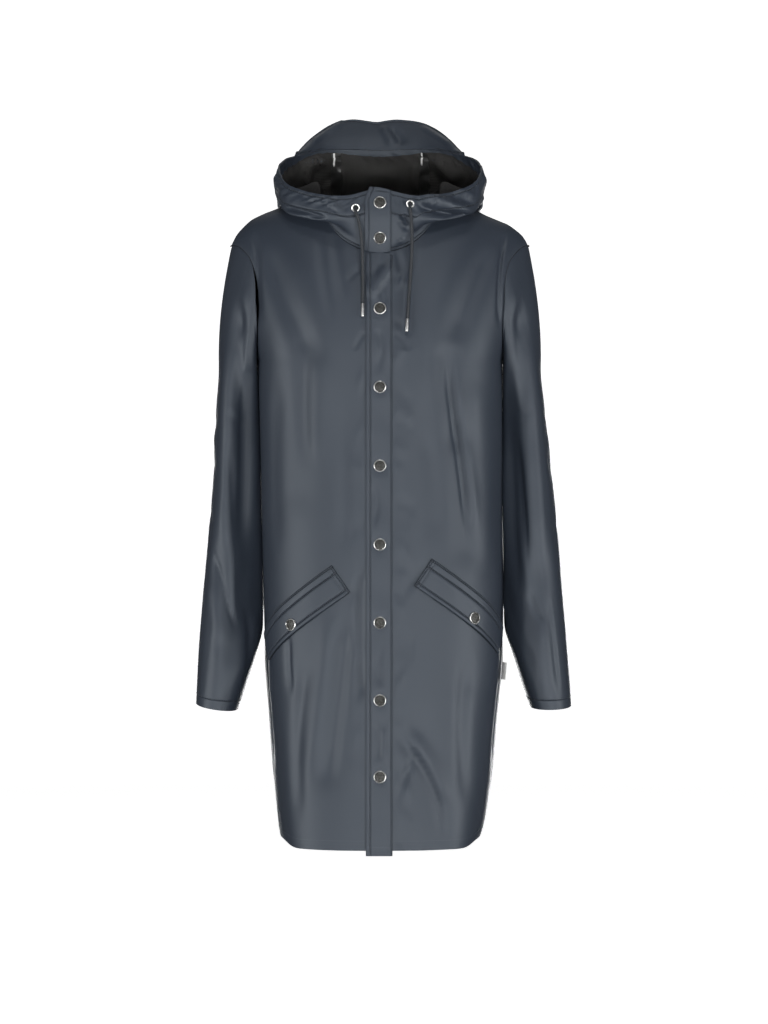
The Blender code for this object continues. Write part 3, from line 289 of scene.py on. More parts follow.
    def cloth(self, angle: Any, level: Any) -> Array:
        """Points on the outer face of the solids' cloth."""
        here, normal = self.point(angle, level), self.normal(self.point, angle, level)
        x, z = here[..., 0], here[..., 2]
        facing = np.clip(-normal[..., 1:2] * 1.6, -1.0, 1.0)
        bare, whole = self.clear_x
        off_placket = np.clip((np.abs(x) - bare) / (whole - bare), 0.0, 1.0)
        front = (self.folds(self.front_folds, x, z) * off_placket)[..., None] * np.maximum(facing, 0.0)
        back = self.folds(self.back_folds, x, z)[..., None] * np.maximum(-facing, 0.0)
        return here + normal * (front + back) * self.fold_share

    def frame(self, angle: Any, level: Any) -> tuple[Array, Array]:
        """Points on the cloth and the outward direction at each."""
        angle, level = np.broadcast_arrays(np.asarray(angle, float), np.asarray(level, float))
        return self.cloth(angle, level), self.normal(self.cloth, angle, level)

    def front_angle(self, x: float, level: float) -> float:
        """Angle in front at which the body has this x."""
        low_z = self.underarm_z + min(level, 0.0) * (self.underarm_z - self.hem_z)
        half, centre = self.section(low_z)[:2]
        widening = 1.0 + (self.tip_x / half - 1.0) * math.sin(math.radians(90.0 * max(level, 0.0)))
        return math.degrees(math.atan((x - centre) / (half * widening)))

    def low_level(self, z: float) -> float:
        """Level of a height below the underarm."""
        return (z - self.underarm_z) / (self.underarm_z - self.hem_z)

    def front_level(self, z: float) -> float:
        """Level of a height at the middle of the front."""
        if z < self.underarm_z:
            return self.low_level(z)
        return math.degrees(math.asin((z - self.underarm_z) / (self.shoulder[0][1] - self.underarm_z))) / 90.0


def first_crossing(values: Array, places: Array) -> float:
    """Place where the values first reach zero from below, or the last place."""
    above = np.nonzero(values >= 0.0)[0]
    if len(above) == 0:
        return float(places[-1])
    index = above[0]
    if index == 0:
        return float(places[0])
    share = values[index - 1] / (values[index - 1] - values[index])
    return float(places[index - 1] + share * (places[index] - places[index - 1]))


@dataclass(frozen=True)
class PanelPlan:
    """Where a panel of the body has its grid: angles and levels of the solids' own grid points."""

    form: BodyForm
    drops: tuple[float, float] = (93.0, 19.0)       # of the neck seam, in front and behind
    splits: tuple[float, float] = (0.58, 0.78)
    meet_x: float = 8.0
    middle_shares: tuple[float, ...] = (0.0, 0.25, 0.48, 0.69, 0.86)
    yoke_shares: tuple[float, ...] = (0.05, 0.12, 0.22, 0.34, 0.47, 0.60, 0.74, 0.87, 1.0)
    shoulder_shares: tuple[float, ...] = (0.30, 0.55, 0.80, 1.0)
    lower_rows: int = 13
    shoulder_steps: int = 8
    column_ease: float = 1.5

    @property
    def split_row(self) -> int:
        """Row where the neck seam turns from a row's end into a column's."""
        return self.lower_rows + len(self.yoke_shares)

    @property
    def split_column(self) -> int:
        """Column that runs up to the shoulder beside the neck."""
        return len(self.middle_shares)

    def levels(self, split: float) -> list[float]:
        """Levels of a panel's rows."""
        lower = [-1.0 + step / self.lower_rows for step in range(self.lower_rows)] + [0.0]
        yoke = [split * share for share in self.yoke_shares]
        return lower + yoke + [split + (1.0 - split) * share for share in self.shoulder_shares]

    def oval(self, points: Array, drop: float) -> Array:
        """Under 1 inside the neck seam and over 1 outside it."""
        below = np.minimum(points[..., 2] - self.form.neck_side_z, 0.0)
        return (points[..., 0] / self.form.neck_half_width) ** 2 + (below / drop) ** 2

    def neck_level(self, angle: float, drop: float) -> float:
        """Level of the neck seam at an angle."""
        levels = np.linspace(0.02, 1.0, 500)
        return first_crossing(1.0 - self.oval(self.form.point(angle, levels), drop), levels)

    def neck_turn(self, level: float, drop: float, middle: float) -> float:
        """How far round from the middle the neck seam is at a level."""
        turns = np.linspace(1.0, 45.0, 500)
        return first_crossing(self.oval(self.form.point(np.abs(middle - turns), level), drop) - 1.0, turns)

    def armhole_angle(self, level: float) -> float:
        """Angle of the front half of the armhole at a level."""
        if level <= 0.0 or level >= 1.0:
            return 90.0
        angles = np.linspace(90.0, 25.0, 600)
        points = self.form.point(angles, level)
        reach = np.abs(points[:, 1] - points[0, 1])
        return first_crossing(reach - smooth(points[:, 2], column(self.form.armhole, 0),
                                             column(self.form.armhole, 1)), angles)

    @staticmethod
    def below_neck(level: float, split: float, top: float) -> float:
        """Level of a row in a column that ends at the neck seam."""
        return level if level <= 0.0 else min(level, split) / split * top

    def quarter(self, behind: bool, start_turn: Callable[[float], float]) -> tuple[Array, Array]:
        """Turns from the middle and levels of half a panel's grid, from its middle to its side.

        Args:
            behind: Whether it is the back.
            start_turn: Turn of the first column at a level.

        Returns:
            The turns and the levels, one row for each of the panel's rows.
        """
        middle, drop, split_level = (180.0 if behind else 0.0), self.drops[behind], self.splits[behind]
        split = self.neck_turn(split_level, drop, middle)
        start = start_turn(self.neck_level(middle, drop))
        tops = [self.neck_level(abs(middle - start - share * (split - start)), drop)
                for share in self.middle_shares]
        turns, levels = [], []
        for level in self.levels(split_level):
            row_levels = [self.below_neck(level, split_level, top) for top in tops]
            starts = [start_turn(here) for here in row_levels]
            row_turns = [here + share * (split - here) for share, here in zip(self.middle_shares, starts)]
            border = self.neck_turn(level, drop, middle) if level > split_level else split
            armhole = self.armhole_angle(level)
            for step in range(self.shoulder_steps + 1):
                share = step / self.shoulder_steps
                row_turns.append(border + (90.0 - border) * share - (90.0 - armhole) * share ** self.column_ease)
                row_levels.append(level)
            turns.append(row_turns)
            levels.append(row_levels)
        return np.array(turns), np.array(levels)

    def cells(self, columns: int, under_neck: slice) -> Array:
        """Which cells a panel has: none above the split under the neck."""
        cells = np.ones((len(self.levels(self.splits[0])) - 1, columns - 1), bool)
        cells[self.split_row:, under_neck] = False
        return cells

    def front(self, side: int) -> tuple[Array, Array, Array]:
        """Angles, levels and cells of one front; side 1 is the wearer's left."""
        turns, levels = self.quarter(False, lambda level: side * self.form.front_angle(self.meet_x, level))
        return side * turns, levels, self.cells(turns.shape[1], slice(0, self.split_column))

    def back(self) -> tuple[Array, Array, Array]:
        """Angles, levels and cells of the back."""
        turns, levels = self.quarter(True, lambda level: 0.0)
        middle = turns.shape[1] - 1
        angles = 180.0 + np.concatenate([-turns[:, ::-1], turns[:, 1:]], axis=1)
        levels = np.concatenate([levels[:, ::-1], levels[:, 1:]], axis=1)
        return angles, levels, self.cells(angles.shape[1], slice(middle - self.split_column,
                                                                middle + self.split_column))

    def neck_seam(self, turned: Array, levels: Array) -> Array:
        """Angles and levels along the neck seam of a quarter, from the middle to the shoulder."""
        row, end = self.split_row, self.split_column
        seam = [(turned[row, here], levels[row, here]) for here in range(end)]
        return np.array(seam + [(turned[here, end], levels[here, end]) for here in range(row, len(levels))])

    def armhole_loop(self, side: int) -> tuple[Array, Array]:
        """Seam points and directions of one armhole, from the underarm up the front and down the back."""
        front = self.levels(self.splits[0])[self.lower_rows:]
        back = self.levels(self.splits[1])[self.lower_rows:][-2:0:-1]
        places = [(self.armhole_angle(level), level) for level in front]
        places += [(180.0 - self.armhole_angle(level), level) for level in back]
        return self.form.frame(side * np.array(column(places, 0)), np.array(column(places, 1)))


# ------------------------------------------------------------------------------------------------
# grids of cloth
# ------------------------------------------------------------------------------------------------
class Edge(Enum):
    """A border of a grid: which axis runs away from it and whether it is the far one."""

    START = (0, False)
    END = (0, True)
    FIRST = (1, False)
    LAST = (1, True)


EDGE_MARKS = (0.0, 0.05, 0.11, 0.2)


def marks(cells: int, parts: int, edges: bool = True) -> Array:
    """Fractional places of a refined grid's lines, with close ones at both borders.

    Args:
        cells: Cells of the coarse grid.
        parts: Parts of each cell.
        edges: Whether lines are added at the borders.

    Returns:
        Rising places from 0 to the number of cells.
    """
    places = set(np.round(np.linspace(0.0, cells, cells * parts + 1), 4))
    if edges:
        places |= {round(place, 4) for place in EDGE_MARKS} | {round(cells - place, 4) for place in EDGE_MARKS}
    return np.array(sorted(places))


def blend_matrix(places: Array, count: int) -> Array:
    """Weights that read a smooth curve through a number of values at fractional places."""
    index = np.arange(count, dtype=float)
    return np.stack([smooth(places, index, np.eye(count)[number]) for number in range(count)], axis=1)


def refine(coarse: Array, rows: Array, columns: Array, closed: bool = False) -> Array:
    """A grid's values at fractional rows and columns; a closed grid joins its last column to its first."""
    if closed:
        coarse = np.concatenate([coarse[:, -3:], coarse, coarse[:, :4]], axis=1)
        columns = columns + 3.0
    values = np.tensordot(blend_matrix(rows, coarse.shape[0]), coarse, axes=(1, 0))
    return np.moveaxis(np.tensordot(blend_matrix(columns, coarse.shape[1]), values, axes=(1, 1)), 0, 1)


class ClothGrid:
    """Points on the outer face of a piece of cloth, with their directions, ready to crease, sew and thicken."""

    def __init__(self, points: Array, normals: Array | None = None, cells: Array | None = None,
                 closed: bool = False, flip: bool = False) -> None:
        """Keep the points; directions and cells are worked out where they aren't given."""
        self.points, self.closed = np.array(points, float), closed
        shape = (points.shape[0] - 1, points.shape[1] - (0 if closed else 1))
        self.cells = np.ones(shape, bool) if cells is None else cells
        self.flip = flip
        self.normals = self.directions() if normals is None else np.array(normals, float)
        self.groove = np.full(points.shape[:2], 60.0)
        self.edge = np.full(points.shape[:2], 60.0)

    def directions(self) -> Array:
        """Outward directions from the points."""
        if self.closed:
            step = np.roll(self.points, -1, axis=1) - np.roll(self.points, 1, axis=1)
        else:
            step = np.gradient(self.points, axis=1)
        return unit(np.cross(step, np.gradient(self.points, axis=0))) * (-1.0 if self.flip else 1.0)

    def drape(self, drape: Drape, keep: Array | None = None) -> "ClothGrid":
        """Crease the cloth, less where keep says so, and turn its directions after it."""
        moved = drape.height(self.points, self.normals)
        return self.push(moved if keep is None else moved * keep)

    def push(self, amount: Array) -> "ClothGrid":
        """Move the cloth out along its directions."""
        before = self.directions()
        self.points = self.points + self.normals * amount[..., None]
        self.normals = unit(self.normals + self.directions() - before)
        return self

    def away(self, edge: Edge) -> Array:
        """Distance of every point from one border, along the grid's lines."""
        axis, far = edge.value
        walked = travelled(self.points, axis)
        if not far:
            return walked
        total = walked[-1:, :] if axis == 0 else walked[:, -1:]
        return total - walked

    def sink_edges(self, edges: Sequence[Edge], depth: float = 0.9, width: float = 2.4) -> "ClothGrid":
        """Roll the cloth in at seams, where it is turned under."""
        near = np.min([self.away(edge) for edge in edges], axis=0)
        self.edge = np.minimum(self.edge, near)
        self.points = self.points - self.normals * (depth * np.exp(-(near / width) ** 2))[..., None]
        return self

    def topstitch(self, sewing: "Sewing", edge: Edge, distance: float, part: slice = slice(None)) -> None:
        """Sew a line of stitches at a distance from a border, and mark its groove.

        Args:
            sewing: Where the stitches are kept.
            edge: The border.
            distance: How far in the line lies.
            part: Which of the grid's lines it crosses.
        """
        axis, _ = edge.value
        away = self.away(edge)
        gap = np.abs(away - distance)
        limit = np.zeros(away.shape, bool)
        limit[(slice(None), part) if axis == 0 else (part, slice(None))] = True
        self.groove = np.minimum(self.groove, np.where(limit, gap, 60.0))
        line, ways = [], []
        count = away.shape[1 - axis]
        for number in range(count)[part]:
            pick = (slice(None), number) if axis == 0 else (number, slice(None))
            walked, points, normals = away[pick], self.points[pick], self.normals[pick]
            order = np.argsort(walked)
            line.append([np.interp(distance, walked[order], points[order, n]) for n in range(3)])
            ways.append([np.interp(distance, walked[order], normals[order, n]) for n in range(3)])
        if self.closed and axis == 0:
            line.append(line[0])
            ways.append(ways[0])
        sewing.add(np.array(line), unit(np.array(ways)))

    def nearest(self, x: float, z: float, way: Sequence[float] = (0.0, -1.0, 0.0)) -> tuple[Array, Array]:
        """Point and direction of the cloth at x and z, on the side that faces a way."""
        seen = self.normals @ np.array(way) > 0.0
        far = (self.points[..., 0] - x) ** 2 + (self.points[..., 2] - z) ** 2 + np.where(seen, 0.0, 1e9)
        order = np.argsort(far.ravel())[:6]
        weight = 1.0 / (far.ravel()[order] + 0.5)
        weight /= weight.sum()
        point = (self.points.reshape(-1, 3)[order] * weight[:, None]).sum(axis=0)
        point[0], point[2] = x, z
        return point, unit((self.normals.reshape(-1, 3)[order] * weight[:, None]).sum(axis=0))

    def area(self) -> float:
        """Area of the cloth in square metres."""
        quads = self.quads()
        flat = self.points.reshape(-1, 3)
        first = np.cross(flat[quads[:, 1]] - flat[quads[:, 0]], flat[quads[:, 2]] - flat[quads[:, 0]])
        second = np.cross(flat[quads[:, 2]] - flat[quads[:, 0]], flat[quads[:, 3]] - flat[quads[:, 0]])
        return float((np.linalg.norm(first, axis=1) + np.linalg.norm(second, axis=1)).sum() / 2) * MM * MM

    def quads(self) -> Array:
        """Corner numbers of the cells."""
        columns = self.points.shape[1]
        row, here = np.nonzero(self.cells)
        after = (here + 1) % columns
        quads = np.stack([row * columns + here, row * columns + after, (row + 1) * columns + after,
                          (row + 1) * columns + here], axis=1)
        return quads[:, ::-1] if self.flip else quads

    def shell(self, name: str, finishes: Sequence[bpy.types.Material], thickness: float) -> bpy.types.Object:
        """Closed thin shell behind the grid: its outer face, its inner face and its cut edge.

        Args:
            name: Name of the piece.
            finishes: Outside and inside materials.
            thickness: Of the cloth.

        Returns:
            The object, with texture places in metres and the seam distances as attributes.
        """
        quads = self.quads()
        used = np.unique(quads)
        number = np.full(self.points.shape[0] * self.points.shape[1], -1)
        number[used] = np.arange(len(used))
        outer = number[quads]
        count = len(used)
        directed = np.concatenate([outer[:, [0, 1]], outer[:, [1, 2]], outer[:, [2, 3]], outer[:, [3, 0]]])
        have = set(map(tuple, directed.tolist()))
        rim = np.array([pair for pair in directed.tolist() if (pair[1], pair[0]) not in have])
        inner = outer[:, ::-1] + count
        border = np.stack([rim[:, 1], rim[:, 0], rim[:, 0] + count, rim[:, 1] + count], axis=1)
        faces = np.concatenate([outer, inner, border])
        outside = self.points.reshape(-1, 3)[used]
        inside = (self.points - self.normals * thickness).reshape(-1, 3)[used]
        mesh = bpy.data.meshes.new(name)
        mesh.from_pydata((np.concatenate([outside, inside]) * MM).tolist(), [], faces.tolist())
        for finish in finishes:
            mesh.materials.append(finish)
        index = np.zeros(len(faces), np.int32)
        index[len(outer):2 * len(outer)] = 1
        mesh.polygons.foreach_set("material_index", index)
        self.add_places(mesh, used)
        mesh.shade_smooth()
        mesh.set_sharp_from_angle(angle=math.radians(60.0))
        item = bpy.data.objects.new(name, mesh)
        bpy.context.scene.collection.objects.link(item)
        return item

    def add_places(self, mesh: bpy.types.Mesh, used: Array) -> None:
        """Store the cloth's own places and its distances from stitching and seams."""
        across = travelled(self.points, 1).mean(axis=0)[None, :] * np.ones((self.points.shape[0], 1))
        along = travelled(self.points, 0).mean(axis=1)[:, None] * np.ones((1, self.points.shape[1]))
        flat = np.stack([across, along], axis=-1).reshape(-1, 2)[used] * MM
        corner = np.zeros(len(mesh.loops), np.int32)
        mesh.loops.foreach_get("vertex_index", corner)
        layer = mesh.uv_layers.new(name="cloth")
        layer.data.foreach_set("uv", flat[corner % len(used)].astype(np.float32).ravel())
        for name, values in (("groove", self.groove), ("edge", self.edge)):
            kept = values.reshape(-1)[used].astype(np.float32)
            attribute = mesh.attributes.new(name, "FLOAT", "POINT")
            attribute.data.foreach_set("value", np.concatenate([kept, kept]))


# ------------------------------------------------------------------------------------------------
# shader expressions
# ------------------------------------------------------------------------------------------------
class Value:
    """A shader socket that reads as a number in Python expressions."""

    def __init__(self, recipe: "Recipe", socket: bpy.types.NodeSocket) -> None:
        """Wrap an output socket."""
        self.recipe, self.socket = recipe, socket

    def math(self, operation: str, *others: Any, flipped: bool = False) -> "Value":
        """This value and others through one Math node."""
        inputs = [*others, self] if flipped else [self, *others]
        node = self.recipe.node("ShaderNodeMath", {"operation": operation}, dict(enumerate(inputs)))
        return Value(self.recipe, node.outputs[0])

    def __add__(self, other: Any) -> "Value":
        """Sum."""
        return self.math("ADD", other)

    def __sub__(self, other: Any) -> "Value":
        """Difference."""
        return self.math("SUBTRACT", other)

    def __rsub__(self, other: Any) -> "Value":
        """Difference, the other way round."""
        return self.math("SUBTRACT", other, flipped=True)

    def __mul__(self, other: Any) -> "Value":
        """Product."""
        return self.math("MULTIPLY", other)

    def __truediv__(self, other: Any) -> "Value":
        """Quotient."""
        return self.math("DIVIDE", other)

    def __rtruediv__(self, other: Any) -> "Value":
        """Quotient, the other way round."""
        return self.math("DIVIDE", other, flipped=True)

    def __pow__(self, other: Any) -> "Value":
        """Power."""
        return self.math("POWER", other)

    __radd__, __rmul__ = __add__, __mul__

    def sine(self) -> "Value":
        """Sine."""
        return self.math("SINE")

    def above(self, limit: Any) -> "Value":
        """1 where the value is over a limit."""
        return self.math("GREATER_THAN", limit)

    def held(self) -> "Value":
        """The value held between 0 and 1."""
        return self.math("MINIMUM", 1.0).math("MAXIMUM", 0.0)


class Recipe:
    """The node tree of one material."""

    def __init__(self, name: str) -> None:
        """Start a material with a Principled shader."""
        self.material = bpy.data.materials.new(name)
        self.material.use_nodes = True
        self.tree = self.material.node_tree
        self.shader = self.tree.nodes["Principled BSDF"]

    def node(self, kind: str, settings: dict[str, Any] | None = None,
             inputs: dict[Any, Any] | None = None) -> bpy.types.Node:
        """Add a node.

        Args:
            kind: Its Blender type.
            settings: Properties set first; "stops" are a ramp's (place, colour) pairs.
            inputs: Numbers, colours or links for its sockets, by name or number.

        Returns:
            The node.
        """
        node = self.tree.nodes.new(kind)
        for name, value in (settings or {}).items():
            if name == "stops":
                ramp = node.color_ramp
                while len(ramp.elements) < len(value):
                    ramp.elements.new(0.5)
                for element, (place, colour) in zip(ramp.elements, value):
                    element.position, element.color = place, colour
            else:
                setattr(node, name, value)
        for name, value in (inputs or {}).items():
            self.feed(node.inputs[name], value)
        return node

    def feed(self, socket: bpy.types.NodeSocket, value: Any) -> None:
        """Link a value to a socket or set it there."""
        if isinstance(value, Value):
            self.tree.links.new(value.socket, socket)
        elif isinstance(value, bpy.types.NodeSocket):
            self.tree.links.new(value, socket)
        else:
            socket.default_value = value

    def value(self, node: bpy.types.Node, output: Any = 0) -> Value:
        """One output of a node as a value."""
        return Value(self, node.outputs[output])

    def place(self) -> bpy.types.NodeSocket:
        """The point's own place, in metres."""
        return self.node("ShaderNodeTexCoord").outputs["Object"]

    def noise(self, scale: float, detail: float = 3.0, rough: float = 0.5, at: Any = None) -> Value:
        """Noise from 0 to 1 with so many lumps to a metre."""
        where = self.place() if at is None else at
        return self.value(self.node("ShaderNodeTexNoise", {}, {
            "Vector": where, "Scale": scale, "Detail": detail, "Roughness": rough}), "Fac")

    def measure(self, name: str) -> Value:
        """A number stored with the mesh."""
        return self.value(self.node("ShaderNodeAttribute", {"attribute_name": name}), "Fac")

    def cloth_place(self) -> tuple[Value, Value]:
        """Places across and along the cloth, in metres."""
        split = self.node("ShaderNodeSeparateXYZ", {}, {0: self.node("ShaderNodeUVMap", {
            "uv_map": "cloth"}).outputs[0]})
        return self.value(split, 0), self.value(split, 1)

    def mix(self, share: Any, first: Any, second: Any) -> bpy.types.NodeSocket:
        """A colour between two."""
        node = self.node("ShaderNodeMix", {"data_type": "RGBA"}, {0: share, 6: first, 7: second})
        return node.outputs[2]

    def bump(self, height: Value, distance: float, strength: float = 1.0, below: Any = None) -> Any:
        """Normal that is tilted by a height."""
        inputs = {"Height": height, "Distance": distance, "Strength": strength}
        if below is not None:
            inputs["Normal"] = below
        return self.node("ShaderNodeBump", {}, inputs).outputs[0]

    def set(self, **values: Any) -> bpy.types.Material:
        """Feed the shader's sockets, named with underscores, and return the material."""
        for name, value in values.items():
            self.feed(self.shader.inputs[name.replace("_", " ").title().replace("Ior", "IOR")], value)
        return self.material


def rgba(red: float, green: float, blue: float) -> tuple[float, float, float, float]:
    """A colour with full cover."""
    return (red, green, blue, 1.0)


@dataclass(frozen=True)
class CoatedCloth:
    """Satin polyurethane-coated knit, seen from its coated side."""

    name: str = "coated_cloth"
    colour: tuple[float, float, float] = (0.014, 0.019, 0.029)
    light: tuple[float, float, float] = (0.020, 0.026, 0.038)
    gloss: tuple[float, float, float] = (0.88, 0.95, 1.0)
    roughness: float = 0.54
    # Painted shade: the near-black colour that stitch grooves and seam lines are darkened towards
    shade: tuple[float, float, float] = (0.005, 0.006, 0.008)
    stitch_width: float = 0.75      # millimetres, of the groove under a line of stitches
    seam_width: float = 0.9         # millimetres, of the painted shade line at a seam

    def make(self) -> bpy.types.Material:
        """Slow and fine unevenness of colour and gloss, fine grain, and a groove under stitching, with painted shade
        darkening the grooves and the seams.
        """
        recipe = Recipe(self.name)
        slow, fine = recipe.noise(9.0, 2.0), recipe.noise(900.0, 3.0, 0.6)
        mottle = (slow * 0.55 + fine * 0.45)
        groove = (recipe.measure("groove") / self.stitch_width) ** 2.0
        sewn = 1.0 / (1.0 + groove * groove)
        seam = (1.0 - recipe.measure("edge") / self.seam_width).held()
        colour = recipe.mix(mottle, rgba(*self.colour), rgba(*self.light))
        # Painted shade: the stitch grooves and the seam lines are darkened towards the shade colour
        colour = recipe.mix((sewn * 0.65 + seam * 0.9).held(), colour, rgba(*self.shade))
        grain = recipe.bump(fine, 0.00012, 0.5)
        ripple = recipe.bump(recipe.noise(55.0, 2.0, 0.4), 0.0006, 0.35, grain)
        sunk = recipe.bump(1.0 - sewn, 0.0014, 1.0, ripple)
        dull = (sewn * 0.35 + seam * 0.4).held()
        return recipe.set(base_color=colour, roughness=(self.roughness - 0.05) + mottle * 0.1 + dull, normal=sunk,
                          ior=1.52, specular_tint=rgba(*self.gloss))


@dataclass(frozen=True)
class KnitBack:
    """The knit that carries the coating, seen from inside: fine ribs, dull and nearly black."""

    name: str = "knit_back"
    colour: tuple[float, float, float] = (0.010, 0.010, 0.011)
    light: tuple[float, float, float] = (0.135, 0.131, 0.124)
    rib: float = 0.0011
    bowl: tuple[float, float] = (0.004, 0.032)      # heights in metres of painted light: the knit is palest between them, darker below and less pale above

    def make(self) -> bpy.types.Material:
        """Loops in ribs along the cloth, with painted light and shade that make the knit paler or darker by height.
        """
        recipe = Recipe(self.name)
        across, along = recipe.cloth_place()
        ribs = (across * (2 * math.pi / self.rib)).sine() * 0.5 + 0.5
        loops = (along * (2 * math.pi / self.rib * 1.3)).sine() * 0.5 + 0.5
        knit = ribs * 0.65 + loops * 0.35
        # Painted light and shade by height: paler in the hood's bowl, darker low down and less pale high up
        height = recipe.value(recipe.node("ShaderNodeSeparateXYZ", {}, {0: recipe.place()}), 2)
        painted_light = ((height - self.bowl[0]) / 0.024).held() * (1.0 - ((height - self.bowl[1]) / 0.030).held() * 0.5)
        share = knit * (recipe.noise(14.0) * 0.5 + 0.3) * (painted_light * 0.7 + 0.35)
        colour = recipe.mix(share.held(), rgba(*self.colour), rgba(*self.light))
        return recipe.set(base_color=colour, roughness=0.72 + knit * 0.1, normal=recipe.bump(knit, 0.0002, 0.6),
                          specular_ior_level=0.08)


@dataclass(frozen=True)
class SnapMetal:
    """Dull nickel with small dark pits."""

    name: str = "snap_metal"
    dark: tuple[float, float, float] = (0.02, 0.02, 0.018)
    light: tuple[float, float, float] = (0.075, 0.075, 0.072)
    spread: float = 0.85
    roughness: float = 0.45

    def make(self) -> bpy.types.Material:
        """Metal mottled at the size of its hammered pits."""
        recipe = Recipe(self.name)
        pits = recipe.noise(520.0, 4.0, 0.62)
        share = ((pits - 0.38) * 4.0).held()
        colour = recipe.mix(share * self.spread + (1.0 - self.spread), rgba(*self.dark), rgba(*self.light))
        return recipe.set(base_color=colour, roughness=self.roughness + (1.0 - share) * 0.25, metallic=1.0,
                          normal=recipe.bump(pits, 0.0002, 0.4))


@dataclass(frozen=True)
class BraidedCord:
    """Tightly braided slate-grey cord."""

    name: str = "braided_cord"
    dark: tuple[float, float, float] = (0.003, 0.0035, 0.0045)
    light: tuple[float, float, float] = (0.028, 0.032, 0.038)
    strands: int = 8
    lay: float = 0.0042

    def make(self) -> bpy.types.Material:
        """Two sets of strands that cross round the cord."""
        recipe = Recipe(self.name)
        around, along = recipe.cloth_place()
        turn = around * (2 * math.pi * self.strands / 2)
        pitch = along * (2 * math.pi / self.lay)
        one, other = (turn + pitch).sine(), (turn - pitch).sine()
        strand = one.math("MAXIMUM", other) * 0.5 + 0.5
        colour = recipe.mix(strand, rgba(*self.dark), rgba(*self.light))
        return recipe.set(base_color=colour, roughness=0.48, normal=recipe.bump(strand, 0.0005, 0.9),
                          specular_ior_level=0.3)


@dataclass(frozen=True)
class PlainFinish:
    """A finish of one colour with a slight unevenness, for thread, tape and the label."""

    name: str
    colour: tuple[float, float, float]
    roughness: float
    lumps: float = 700.0

    def make(self) -> bpy.types.Material:
        """Colour that varies a little with fine noise."""
        recipe = Recipe(self.name)
        grain = recipe.noise(self.lumps, 3.0)
        darker = tuple(0.72 * part for part in self.colour)
        colour = recipe.mix(grain, rgba(*darker), rgba(*self.colour))
        return recipe.set(base_color=colour, roughness=self.roughness, normal=recipe.bump(grain, 0.0001, 0.4))


@dataclass(frozen=True)
class SeamTape:
    """Clear tape welded over a seam: dark and glossy, with a painted white glint along its middle near the rim."""

    name: str = "seam_tape"
    dark: tuple[float, float, float] = (0.02, 0.02, 0.02)
    # Colour of the painted glint
    white: tuple[float, float, float] = (0.75, 0.75, 0.74)
    glint_reach: float = 0.022             # metres from the rim, where the painted glint ends
    middle: float = 0.0035

    def make(self) -> bpy.types.Material:
        """Painted white glint along the middle near the rim, uneven at its edge."""
        recipe = Recipe(self.name)
        across, along = recipe.cloth_place()
        # Painted glint: white along the tape's middle, from the rim down to a set distance
        up = ((self.glint_reach - along) / 0.004 + (recipe.noise(300.0) - 0.5)).held()
        beside = (across - self.middle).math("ABSOLUTE") / 0.0011
        white = up * (1.6 - beside).held()
        return recipe.set(base_color=recipe.mix(white, rgba(*self.dark), rgba(*self.white)), roughness=0.3,
                          normal=recipe.bump(recipe.noise(400.0), 0.0001, 0.3))


# ------------------------------------------------------------------------------------------------
# mesh helpers for hardware and thread
# ------------------------------------------------------------------------------------------------
def add_mesh(name: str, vertices: Array, faces: list, material: bpy.types.Material,
             sharp: float = 40.0) -> bpy.types.Object:
    """Smooth object from vertices in millimetres."""
    mesh = bpy.data.meshes.new(name)
    mesh.from_pydata((np.asarray(vertices, float) * MM).tolist(), [], faces)
    mesh.materials.append(material)
    mesh.shade_smooth()
    mesh.set_sharp_from_angle(angle=math.radians(sharp))
    item = bpy.data.objects.new(name, mesh)
    bpy.context.scene.collection.objects.link(item)
    return item


def turned(name: str, profile: Table, base: Array, axis: Array, material: bpy.types.Material,
           sides: int = 40, ring: bool = False) -> bpy.types.Object:
    """Turned piece from a profile of (radius, height), standing at a point along a direction.

    Args:
        name: Name of the piece.
        profile: From its foot to its top; a radius of 0 is a point on the axis.
        base: Where it stands.
        axis: Its direction.
        material: Its finish.
        sides: Faces round it.
        ring: Whether the profile closes on itself.

    Returns:
        The object.
    """
    vertices, loops = [], []
    for radius, height in profile:
        loops.append(list(range(len(vertices), len(vertices) + (sides if radius > 0.0 else 1))))
        for step in range(sides if radius > 0.0 else 1):
            turn = 2 * math.pi * step / sides
            vertices.append((radius * math.cos(turn), radius * math.sin(turn), height))
    faces = [] if ring else [list(reversed(loops[0]))]
    for low, high in list(zip(loops, loops[1:])) + ([(loops[-1], loops[0])] if ring else []):
        for step in range(sides):
            after = (step + 1) % sides
            if len(high) == 1:
                faces.append([low[step], low[after], high[0]])
            else:
                faces.append([low[step], low[after], high[after], high[step]])
    turn = Vector((0.0, 0.0, 1.0)).rotation_difference(Vector(axis)).to_matrix()
    placed = np.asarray(vertices) @ np.array(turn).T + np.asarray(base)
    return add_mesh(name, placed, faces, material)


